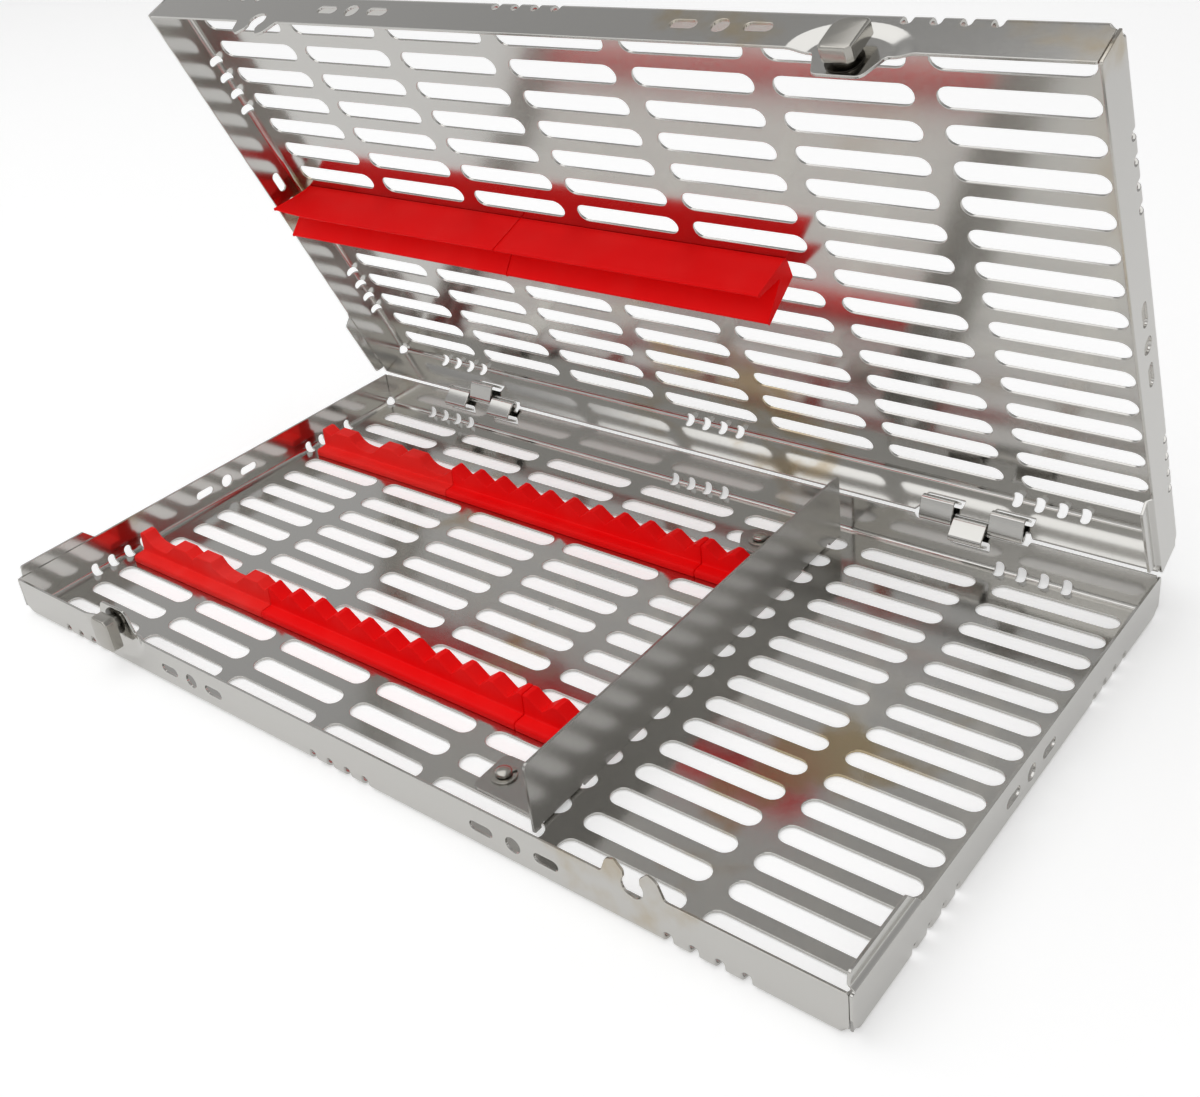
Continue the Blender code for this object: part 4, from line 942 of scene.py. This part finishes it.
@dataclass
class Latch:
    """Swivelling latch: a block on a flatted post, a near-black disc of painted shadow round it, and the
    washer behind the ear.

    Attributes:
        name: first part of the piece names.
        x: pivot.
        place: tray coordinates to the frame.
        inner, thick: v of the block's inner face, and the block's thickness.
        bevel, edge: how deep the outer bevel runs, and the inner edge's rounding.
        ear_outer: v of the ear's outer face.
    """

    name: str
    x: float
    place: Place
    inner: float = FRONT + 0.45
    thick: float = 4.0
    bevel: float = 0.75
    edge: float = 0.3
    ear_outer: float = FRONT - DISH

    def layer(self, outline: Array, v: float) -> Array:
        """Outline round the pivot, at v outward."""
        x, w = self.x + outline[:, 0], PIVOT_W + outline[:, 1]
        return np.stack([x, np.full(len(x), v), w], 1)

    def block(self) -> Array:
        """Loops of the block.

        The side outline has tight corners and one large round; the face's outline lies
        further in and has wider corners, so that the bevel widens towards the pivot's
        corners.  Layers go from one to the other by sin and cos of a quarter turn.
        """
        corners = np.array([(-4.0, -3.4), (2.7, -3.4), (3.9, -2.3), (4.0, 7.2), (-4.1, 7.2)])
        side = fillet(corners, np.array([1.5, 0.35, 0.35, 0.9, 5.4]), steps=8)
        face = fillet(grown(corners, -0.5), np.array([2.4, 1.6, 2.4, 1.3, 5.2]), steps=8)
        shoulder = self.inner + self.thick - self.bevel
        layers = []
        for share, out in ((0.0, 0.0), (0.3, 0.7), (1.0, 1.0)):
            layers.append(self.layer(grown(side, self.edge * (out - 1)), self.inner + self.edge * share))
        for a in np.radians(np.linspace(0, 90, 6)):
            mixed = side + (face - side) * (1 - math.cos(a))
            layers.append(self.layer(mixed, shoulder + self.bevel * math.sin(a)))
        return np.stack(layers)

    def post(self) -> Array:
        """Flatted cam between block and ear: a circle cut by two flats."""
        radius, flat = 2.6, 1.95
        outline = np.clip(ring(0, 0, radius, 40), (-radius, -flat), (radius, flat))
        return np.stack([self.layer(outline, v) for v in (self.inner + 0.05, self.ear_outer + 0.1)])

    def build(self) -> tuple[bpy.types.Object, bpy.types.Object, bpy.types.Object]:
        """Lever, painted shadow disc and washer."""
        washer = self.ear_outer - SHEET - 0.05
        middle = (self.x, PIVOT_W)
        end = washer - 0.6
        head = [(2.7, end), (2.7, end - 0.3), (2.45, end - 0.6), (1.6, end - 0.7)]
        shank = np.array([(1.8, self.ear_outer + 0.12), (1.8, end), *head])
        lever = solid(
            f"{self.name}_block",
            shell(self.block(), self.place),
            shell(self.post(), self.place),
            shell(turned(shank, "v", middle), self.place),
        )
        # Thin near-black disc at the ear's face: painted shadow standing for the shade between lever and
        # ear, not a real flange.
        disc = np.array([(4.2, 0.05), (4.35, 0.1), (4.35, 0.22), (4.2, 0.27)]) + (0, self.ear_outer)
        shadow_disc = solid(f"{self.name}_flange", shell(turned(disc, "v", middle, 48), self.place))
        back = washer - 0.5
        rim = fillet(np.array([(1.95, washer), (3.5, washer), (3.5, back), (1.95, back)]), 0.12, steps=2)
        ring_piece = solid(f"{self.name}_ring", shell(turned(rim, "v", middle), self.place, joined=True))
        return lever, shadow_disc, ring_piece


@dataclass
class Divider(Sheet):
    """Upright divider plate with two bent feet, from one blank.

    Blank coordinates: x runs along v, y down the plate, zero at the fold's upper end.

    Attributes:
        x: outer face of the plate at its middle.
        ends: v of its two ends.
        top_w: level of its upper edge.
        bend: inner radius of the feet's bends.
        foot_half: half width of plate that a foot's bend takes up.
        askew: how far the plate leans in x for each millimetre of v.
        studs: (x, row) of the stud in each foot, front foot first.
    """

    x: float = 56.35
    ends: Pair = (4.6, 157.6)
    top_w: float = -8.5
    bend: float = 0.4
    foot_half: float = 8.0
    askew: float = 0.0216
    studs: tuple[tuple[float, int], ...] = ((39.0, 13), (35.9, 1))

    def drop(self) -> float:
        """Level of the fold's upper end."""
        return SEAT - self.bend - self.thickness

    def turn(self) -> float:
        """Length of the bend along the sheet's middle."""
        return (self.bend + self.thickness / 2) * math.pi / 2

    def skew(self, v: float | Array) -> float | Array:
        """Shift in x of the plate, which stands a little askew."""
        return self.askew * (v - sum(self.ends) / 2)

    def reach(self, x: float, v: float) -> float:
        """Blank y of a foot's point at tray x, v."""
        return self.turn() + self.x + self.skew(v) - self.bend - x

    def fold(self, blank: Array, depth: Array) -> Array:
        """Plate down to the bend, a quarter turn, then a foot running left.

        Away from the feet the plate goes on straight down.
        """
        v, d = blank[:, 0], blank[:, 1]
        a = np.clip(d, 0, self.turn()) / (self.bend + self.thickness / 2)
        radius = self.bend + depth
        past = np.maximum(d - self.turn(), 0)
        middles = [row_v(row) for _, row in self.studs]
        straight = (d <= 0) | (np.abs(v[:, None] - middles).min(1) > self.foot_half + 0.3)
        x = np.where(straight, self.x + depth, self.x - self.bend + radius * np.cos(a) - past)
        w = np.where(straight, self.drop() + d, self.drop() + radius * np.sin(a))
        return np.stack([x + self.skew(v), v, w], -1)

    def outline(self) -> Array:
        """Plate with rounded top corners, notches beside the feet, and the feet's tongues."""
        v0, v1 = self.ends
        top, low = self.top_w - self.drop(), self.bend + self.thickness
        near = self.foot_half
        far = near + 0.7
        runs = [fillet([(v0, top + 9), (v0, top), (v1, top), (v1, top + 9)], 1.5, closed=False)]
        runs.append(np.array([(v1, low - 0.5), (v1 - 0.5, low)]))
        front = [(7.5, 0), (7.3, 6.5), (7.1, 23.9), (-6.8, 23.9), (-7.4, 6.5), (-7.8, 0)]
        rear = [(7.3, 0), (7.1, 6.5), (6.4, 22.8), (-2.0, 29.5), (-6.2, 22.8), (-7.1, 0)]
        shapes = ((front, (2, 2.2, 2.2, 3), 11.2), (rear, (2, 3.5, 3.5, 2), 8.2))
        for (x, row), (shape, radii, toe) in zip(self.studs, shapes):
            v = row_v(row)
            foot = np.array(shape, float)
            foot[1:-1, 1] += self.turn() - self.bend
            foot[1:-1, 1] = np.minimum(foot[1:-1, 1], self.reach(x - toe, v))
            tongue = fillet(foot + (v, 0), np.array(radii), closed=False)
            runs += [np.array([(v + far, low), (v + far, 0.2), (v + near, 0.0)]), tongue]
            runs.append(np.array([(v - near, 0.0), (v - far, 0.2), (v - far, low)]))
        runs.append(np.array([(v0 + 0.5, low), (v0, low - 0.5)]))
        return np.vstack(runs)

    def holes(self) -> list[Array]:
        """Stud holes."""
        return [ring(row_v(row), self.reach(x, row_v(row)), 1.55, 20) for x, row in self.studs]

    def creases(self) -> list[Array]:
        """Lines across the bends."""
        lines = []
        half = self.foot_half - 0.1
        for v in (row_v(row) for _, row in self.studs):
            lines += [np.array([(v - half, d), (v + half, d)]) for d in np.linspace(0, self.turn(), 7)]
        return lines


@dataclass
class SpringRing(Sheet):
    """Split spring ring that holds a foot on its stud.

    Attributes:
        x, v, w: middle of its upper face.
        radius, hole: outer and inner radius.
        split: half width of the split.
        facing: direction of the split, in degrees.
    """

    thickness: float = 0.5
    x: float = 0.0
    v: float = 0.0
    w: float = 0.0
    radius: float = 3.6
    hole: float = 1.75
    split: float = 0.55
    facing: float = -50.0

    def fold(self, blank: Array, depth: Array) -> Array:
        """Flat, dished by a tenth of a millimetre towards its rim."""
        r = np.hypot(blank[:, 0], blank[:, 1])
        w = self.w + depth - 0.1 * (1 - np.clip(r / self.radius, 0, 1) ** 2)
        return np.stack([self.x + blank[:, 0], self.v + blank[:, 1], w], -1)

    def outline(self) -> Array:
        """Outer circle, in through the split, and back round the hole."""
        a0, a1 = math.asin(self.split / self.radius), math.asin(self.split / self.hole)
        outer = self.radius * spokes(np.linspace(a0, math.tau - a0, 40))
        inner = self.hole * spokes(np.linspace(math.tau - a1, a1, 28))
        a = math.radians(self.facing)
        turn = np.array([[math.cos(a), math.sin(a)], [-math.sin(a), math.cos(a)]])
        return np.vstack([outer, inner]) @ turn


# Finishes
class Wiring:
    """Shorthand for adding and joining nodes of one tree."""

    def __init__(self, tree: bpy.types.NodeTree) -> None:
        """Keep the tree."""
        self.tree = tree

    def add(self, kind: str, **settings: object) -> bpy.types.Node:
        """Add a node; settings name its properties, or its inputs with spaces as underscores."""
        node = self.tree.nodes.new(kind)
        for key, value in settings.items():
            if hasattr(node, key):
                setattr(node, key, value)
            else:
                node.inputs[key.replace("_", " ")].default_value = value
        return node

    def join(self, source: Value, target: bpy.types.NodeSocket) -> None:
        """Link a socket to the target, or set the target to a constant."""
        if isinstance(source, bpy.types.NodeSocket):
            self.tree.links.new(source, target)
        else:
            target.default_value = source

    def compute(self, kind: str, a: Value, b: Value) -> bpy.types.NodeSocket:
        """Math node of two values."""
        node = self.add("ShaderNodeMath", operation=kind)
        self.join(a, node.inputs[0])
        self.join(b, node.inputs[1])
        return node.outputs[0]

    def line(self, source: Value, gain: float, start: Value) -> bpy.types.NodeSocket:
        """The source times gain, plus start."""
        return self.compute("ADD", self.compute("MULTIPLY", source, gain), start)

    def spread(self, source: Value, start: Pair, end: Pair = (0.0, 1.0)) -> bpy.types.NodeSocket:
        """Map the range start smoothly onto the range end, and clamp it."""
        node = self.add("ShaderNodeMapRange", interpolation_type="SMOOTHSTEP")
        for value, target in zip((source, *start, *end), node.inputs):
            self.join(value, target)
        return node.outputs[0]

    def blend(self, factor: Value, a: Triple, b: Triple) -> bpy.types.NodeSocket:
        """Mix two linear colours."""
        node = self.add("ShaderNodeMix", data_type="RGBA")
        for place, value in ((0, factor), (6, (*a, 1)), (7, (*b, 1))):
            self.join(value, node.inputs[place])
        return node.outputs[2]

    def bump(self, height: Value, shader: bpy.types.Node) -> None:
        """Let a height in metres tilt the shader's normal."""
        bump = self.add("ShaderNodeBump", Strength=1.0, Distance=1.0)
        self.join(height, bump.inputs["Height"])
        self.join(bump.outputs[0], shader.inputs["Normal"])


def new_material(name: str, **constants: object) -> tuple[bpy.types.Material, Wiring, bpy.types.Node]:
    """Material of one Principled shader.

    Args:
        name: material name.
        constants: values of the shader's inputs, with underscores for spaces.

    Returns:
        The material, its wiring and the shader.
    """
    material = bpy.data.materials.new(name)
    material.use_nodes = True
    shader = material.node_tree.nodes["Principled BSDF"]
    for key, value in constants.items():
        shader.inputs[key.replace("_", " ")].default_value = value
    return material, Wiring(material.node_tree), shader


def effect(
    name: str, inputs: dict[str, float], outputs: Sequence[str], wire: Callable[..., None]
) -> bpy.types.NodeTree:
    """Build a shared effect once as a node group.

    Args:
        name: group name.
        inputs: float inputs with their usual values.
        outputs: names of float outputs.
        wire: called with the wiring, the group's inputs and its outputs.
    """
    if name in bpy.data.node_groups:
        return bpy.data.node_groups[name]
    tree = bpy.data.node_groups.new(name, "ShaderNodeTree")
    for key, value in inputs.items():
        socket = tree.interface.new_socket(key, in_out="INPUT", socket_type="NodeSocketFloat")
        socket.default_value = value
    for key in outputs:
        tree.interface.new_socket(key, in_out="OUTPUT", socket_type="NodeSocketFloat")
    wiring = Wiring(tree)
    wire(wiring, wiring.add("NodeGroupInput").outputs, wiring.add("NodeGroupOutput").inputs)
    return tree


def grain_effect() -> bpy.types.NodeTree:
    """Fine unevenness of polished sheet: a coarse ripple and a fine grain."""

    def wire(w: Wiring, given: object, out: object) -> None:
        """Ripple is slow noise, Grain is quick noise."""
        place = w.add("ShaderNodeTexCoord").outputs["Object"]
        for key, detail, socket in (("Ripple Scale", 2.0, "Ripple"), ("Grain Scale", 3.0, "Grain")):
            noise = w.add("ShaderNodeTexNoise", Detail=detail)
            w.join(place, noise.inputs["Vector"])
            w.join(given[key], noise.inputs["Scale"])
            w.join(noise.outputs[0], out[socket])

    scales = {"Ripple Scale": 30.0, "Grain Scale": 900.0}
    return effect("uneven_sheet", scales, ("Ripple", "Grain"), wire)


def stain_effect() -> bpy.types.NodeTree:
    """Dried-on stains: broad noise cut to its peaks, ragged by a finer one."""

    def wire(w: Wiring, given: object, out: object) -> None:
        """Mask is 1 in a stain's middle."""
        place = w.add("ShaderNodeTexCoord").outputs["Object"]
        broad = w.add("ShaderNodeTexNoise", Detail=2.0)
        fine = w.add("ShaderNodeTexNoise", Detail=4.0)
        w.join(place, broad.inputs["Vector"])
        w.join(place, fine.inputs["Vector"])
        w.join(given["Scale"], broad.inputs["Scale"])
        w.join(w.compute("MULTIPLY", given["Scale"], 7.0), fine.inputs["Scale"])
        ragged = w.line(fine.outputs[0], 0.22, broad.outputs[0])
        w.join(w.spread(w.compute("SUBTRACT", ragged, given["Rarity"]), (0.0, 0.12)), out["Mask"])

    return effect("dried_stain", {"Scale": 14.0, "Rarity": 0.72}, ("Mask",), wire)


@dataclass(frozen=True)
class SteelFinish:
    """Stainless sheet or fitting.

    Attributes:
        name: material name.
        colour, stain: linear colours of clean and stained metal.
        roughness: middle roughness, varied by the grain.
        ripple, grain: bump heights in metres.
        rarity: how rare the stains are.
    """

    name: str
    colour: Triple = (0.60, 0.59, 0.565)
    stain: Triple = (0.48, 0.39, 0.25)
    roughness: float = 0.14
    ripple: float = 0.00004
    grain: float = 0.0000012
    rarity: float = 0.71

    def make(self) -> bpy.types.Material:
        """Build the material."""
        material, w, shader = new_material(self.name, Metallic=1.0)
        uneven = w.add("ShaderNodeGroup", node_tree=grain_effect()).outputs
        mask = w.add("ShaderNodeGroup", node_tree=stain_effect(), Rarity=self.rarity).outputs[0]
        w.join(w.blend(mask, self.colour, self.stain), shader.inputs["Base Color"])
        clean = w.line(uneven["Grain"], 0.06, self.roughness - 0.03)
        w.join(w.line(mask, 0.1, clean), shader.inputs["Roughness"])
        fine = w.compute("MULTIPLY", uneven["Grain"], self.grain)
        w.bump(w.line(uneven["Ripple"], self.ripple, fine), shader)
        return material


@dataclass(frozen=True)
class SiliconeFinish:
    """Soft moulded silicone with a faint surface bloom.

    Attributes:
        name: material name.
        colour, bloom: linear colours of the silicone and of its bloom.
        roughness: middle roughness, varied by the grain.
    """

    name: str
    colour: Triple = (0.98, 0.002, 0.003)
    bloom: Triple = (0.98, 0.008, 0.008)
    roughness: float = 0.5

    def make(self) -> bpy.types.Material:
        """Build the material."""
        material, w, shader = new_material(self.name, Specular_IOR_Level=0.1)
        uneven = w.add("ShaderNodeGroup", node_tree=grain_effect(), Ripple_Scale=60.0).outputs
        bloomed = w.spread(uneven["Ripple"], (0.4, 0.75))
        w.join(w.blend(bloomed, self.colour, self.bloom), shader.inputs["Base Color"])
        w.join(w.line(uneven["Grain"], 0.12, self.roughness - 0.06), shader.inputs["Roughness"])
        w.bump(w.compute("MULTIPLY", uneven["Grain"], 0.000004), shader)
        return material


# Floor, light and camera
@dataclass
class Studio:
    """Pale floor swept up into a backdrop, soft lamps and the camera.

    Attributes:
        eye, aim: camera place and aim in metres.
        roll: camera turn about its axis, in degrees.
        frame: width and height of the photograph in pixels.
        focal, middle: focal length and optical axis in those pixels.
        lift: how much of the floor's white comes from the floor itself.
        target: point that the lamps face.
    """

    eye: Triple = (0.247322, -0.254952, 0.238652)
    aim: Triple = (0.001446, 0.004734, 0.044501)
    roll: float = 7.9524
    frame: tuple[int, int] = (1200, 1097)
    focal: float = 1414.645
    middle: Pair = (547.079, 473.551)
    lift: float = 0.33
    target: Triple = (0, 0, 0.05)

    def build(self) -> None:
        """Make all of it, shown with colours as they are written."""
        bpy.context.scene.view_settings.view_transform = "Standard"
        self.floor()
        self.lamps()
        self.camera()

    def floor(self) -> None:
        """A flat disc whose rim sweeps up in a quarter circle, turned about the vertical.

        Rays that show the background find it lifted to white, mirrored ones by half as
        much; it keeps its shadow.
        """
        flat, curve = 2.4, 0.7
        a = np.linspace(0, math.pi / 2, 13)
        radius = np.concatenate([[0.001, 0.3, 1.0], flat + curve * np.sin(a)])
        height = np.concatenate([[0.0, 0.0, 0.0], curve - curve * np.cos(a)])
        grid = turned(np.stack([radius, height], 1), "w", (0.0, 0.0), 64)
        index = np.arange(grid.size // 3).reshape(grid.shape[:2])
        low, high = index[:-1], index[1:]
        quads = np.stack([low, high, np.roll(high, -1, 1), np.roll(low, -1, 1)], -1).reshape(-1, 4)
        floor = write_mesh("studio_floor", grid.reshape(-1, 3) - (0, 0, 0.0002), [quads])
        material, w, shader = new_material(
            "pale_floor",
            Base_Color=(0.9, 0.9, 0.9, 1),
            Roughness=0.9,
            Specular_IOR_Level=0.1,
            Emission_Color=(1, 1, 1, 1),
        )
        rays = w.add("ShaderNodeLightPath").outputs
        clear = w.compute("MAXIMUM", rays["Is Camera Ray"], rays["Is Transmission Ray"])
        seen = w.compute("MAXIMUM", clear, w.compute("MULTIPLY", rays["Is Glossy Ray"], 0.5))
        w.join(w.compute("MULTIPLY", seen, self.lift), shader.inputs["Emission Strength"])
        dress(floor, material)

    def lamps(self) -> None:
        """Even pale sky with a wide soft lamp above and a weaker one in front."""
        world = bpy.data.worlds.new("studio_sky")
        bpy.context.scene.world = world
        world.use_nodes = True
        w = Wiring(world.node_tree)
        background = world.node_tree.nodes["Background"]
        place = w.add("ShaderNodeTexCoord").outputs["Generated"]
        height = w.add("ShaderNodeSeparateXYZ")
        w.join(place, height.inputs[0])
        strength = w.spread(height.outputs[2], (0.15, 0.85), (0.62, 0.34))
        w.join(strength, background.inputs["Strength"])
        background.inputs["Color"].default_value = (1, 1, 1, 1)
        for name, place, size, power in (
            ("lamp_over", (-0.5, -0.45, 1.9), 2.4, 18.0),
            ("lamp_front", (0.9, -1.4, 1.5), 1.6, 6.0),
        ):
            data = bpy.data.lights.new(name, "AREA")
            data.size = size
            data.energy = power
            lamp = bpy.data.objects.new(name, data)
            lamp.location = place
            facing = Vector(self.target) - Vector(place)
            lamp.rotation_euler = facing.to_track_quat("-Z", "Y").to_euler()
            bpy.context.scene.collection.objects.link(lamp)

    def camera(self) -> None:
        """Camera at the photograph's viewing angle."""
        data = bpy.data.cameras.new("camera")
        data.sensor_fit = "HORIZONTAL"
        data.sensor_width = 36.0
        width, height = self.frame
        data.lens = self.focal * data.sensor_width / width
        data.shift_x = (width / 2 - self.middle[0]) / width
        data.shift_y = (self.middle[1] - height / 2) / width
        data.clip_start = 0.01
        camera = bpy.data.objects.new("camera", data)
        eye, aim = Vector(self.eye), Vector(self.aim)
        level = (aim - eye).to_track_quat("-Z", "Y").to_matrix()
        turn = level @ Matrix.Rotation(math.radians(-self.roll), 3, "Z")
        camera.matrix_world = Matrix.Translation(eye) @ turn.to_4x4()
        bpy.context.scene.collection.objects.link(camera)
        bpy.context.scene.camera = camera


# The whole cassette
@dataclass
class Cassette:
    """Builds every sub-assembly and hands the pieces to the frame.

    Attributes:
        steel, satin: sheet of the trays and of the divider.
        fitting, dark: pins, studs, rings and latches, and the near-black discs painted as shadow behind
            the latch levers.
        silicone, pale_silicone: modules, and the two at the left of the rails.
    """

    steel: bpy.types.Material
    satin: bpy.types.Material
    fitting: bpy.types.Material
    painted_shadow: bpy.types.Material
    silicone: bpy.types.Material
    pale_silicone: bpy.types.Material

    def add(
        self, piece: bpy.types.Object, body: Body, material: bpy.types.Material, *nodes: str
    ) -> None:
        """Dress a piece, let it ride on its body and stand for its nodes."""
        dress(piece, material)
        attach(piece, body.value)
        if nodes:
            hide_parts(*nodes)
        log.info("%s: %d faces", piece.name, len(piece.data.polygons))

    def trays(self) -> None:
        """Both half trays."""
        base = HalfTray(
            "base_half_tray",
            base_place,
            straps=(strap_span("left", -1), strap_span("left", 1), strap_span("right", 0)),
            fork_x=LATCH_X,
            ear_x=-LATCH_X,
            tab=(138.0, 142.3, 165.9, 166.4),
        )
        lid = HalfTray(
            "lid_half_tray",
            lid_place,
            straps=(strap_span("left", 0), strap_span("right", -1), strap_span("right", 1)),
            fork_x=-LATCH_X,
            ear_x=LATCH_X,
            tab=(3.6, 5.2, 30.5, 32.8),
        )
        self.add(base.build(), Body.BASE, self.steel, "base_tray")
        self.add(lid.build(), Body.LID, self.steel, "lid_tray")

    def hinges(self) -> None:
        """Pins in the curled straps, as turned rods with eased ends."""
        for side in ("left", "right"):
            x0, x1 = strap_span(side, -1)[0] - 0.2, strap_span(side, 1)[1] + 0.2
            eased = np.array([(0.4, 0.0), (0.62, 0.1), (0.7, 0.3)])
            rod = np.vstack([eased + (0, x0), eased[::-1] * (1, -1) + (0, x1)])
            pin = solid(f"pin_{side}", shell(turned(rod, "x", (0.0, 0.0), 20), base_place))
            self.add(pin, Body.BASE, self.fitting, f"hinge_pin_{side}")

    def latches(self) -> None:
        """Both swivelling latches."""
        for name, x, place, moving, fixed in (
            ("base_latch", -LATCH_X, base_place, Body.BASE_LATCH, Body.BASE),
            ("lid_latch", LATCH_X, lid_place, Body.LID_LATCH, Body.LID),
        ):
            lever, shadow_disc, washer = Latch(name, x, place).build()
            self.add(lever, moving, self.fitting, f"{name}_lever")
            # The disc is painted shadow: its near-black colour stands for the shade between lever and ear.
            self.add(shadow_disc, moving, self.painted_shadow)
            self.add(washer, fixed, self.fitting, f"{name}_washer")

    def rails(self) -> None:
        """Two rails of three modules each."""
        seams = (-142.4, -75.45, 28.95, 55.2)
        gap = 0.15
        for where, row, notch in (("rear", 3, 4.3), ("front", 11, 28.1)):
            for kind, x0, x1 in zip(Crest, seams, seams[1:]):
                name = f"rail_{where}_{kind.value}"
                module = RailModule(f"{name}_module", kind, row, x0 + gap, x1 - gap, notch=notch)
                finish = self.pale_silicone if kind is Crest.BLOCKS else self.silicone
                self.add(module.build(), Body.BASE, finish, name)

    def bar(self) -> None:
        """The lid's bar of two modules."""
        left = BarModule("lid_bar_left_module", -142.15, -43.15, flare=3.4)
        right = BarModule("lid_bar_right_module", -42.85, 52.15)
        self.add(left.build(), Body.LID, self.silicone, "lid_bar_left")
        self.add(right.build(), Body.LID, self.silicone, "lid_bar_right")

    def divider(self) -> None:
        """Divider plate, its studs and their spring rings."""
        plate = Divider("divider_sheet", base_place, round_edge=0.15)
        self.add(plate.build(), Body.BASE, self.satin, "divider_plate")
        under = SEAT - plate.thickness
        low, seat, head = HALF_HEIGHT - 0.1, FLOOR_INNER + 0.02, under - 0.85
        foot = [(2.1, low), (2.35, low - 0.2), (2.35, seat), (1.35, seat)]
        neck = [(1.35, head), (2.15, head), (2.3, head - 0.15)]
        dome = spokes(np.radians(np.linspace(10, 84, 8))) * (2.33, -1.05) + (0, head - 0.5)
        profile = np.vstack([foot, neck, dome])
        for where, (x, row) in zip(("front", "rear"), plate.studs):
            v = row_v(row)
            stud = solid(f"stud_{where}", shell(turned(profile, "w", (x, v)), base_place))
            self.add(stud, Body.BASE, self.fitting, f"divider_stud_{where}")
            middle = {"x": x, "v": v, "w": under - 0.55}
            split = SpringRing(f"spring_ring_{where}", base_place, round_edge=0.1, **middle)
            self.add(split.build(), Body.BASE, self.fitting, f"stud_ring_{where}")


def main() -> None:
    """Build the model in order."""
    logging.basicConfig(level=logging.INFO, format="%(message)s")
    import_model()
    Studio().build()
    cassette = Cassette(
        steel=SteelFinish("polished_sheet").make(),
        satin=SteelFinish("satin_divider", (0.45, 0.44, 0.42), roughness=0.25, rarity=0.9).make(),
        fitting=SteelFinish("fitting_steel", (0.46, 0.445, 0.41), roughness=0.24, rarity=0.85).make(),
        # Near-black colour painted as the shade between each latch lever and its ear.
        painted_shadow=SteelFinish("painted_shadow_disc", (0.07, 0.065, 0.055), roughness=0.22, rarity=0.9).make(),
        silicone=SiliconeFinish("red_silicone").make(),
        pale_silicone=SiliconeFinish("paler_silicone", (0.95, 0.022, 0.018), (0.96, 0.04, 0.035)).make(),
    )
    cassette.trays()
    cassette.hinges()
    cassette.latches()
    cassette.rails()
    cassette.bar()
    cassette.divider()


if __name__ == "__main__":
    main()
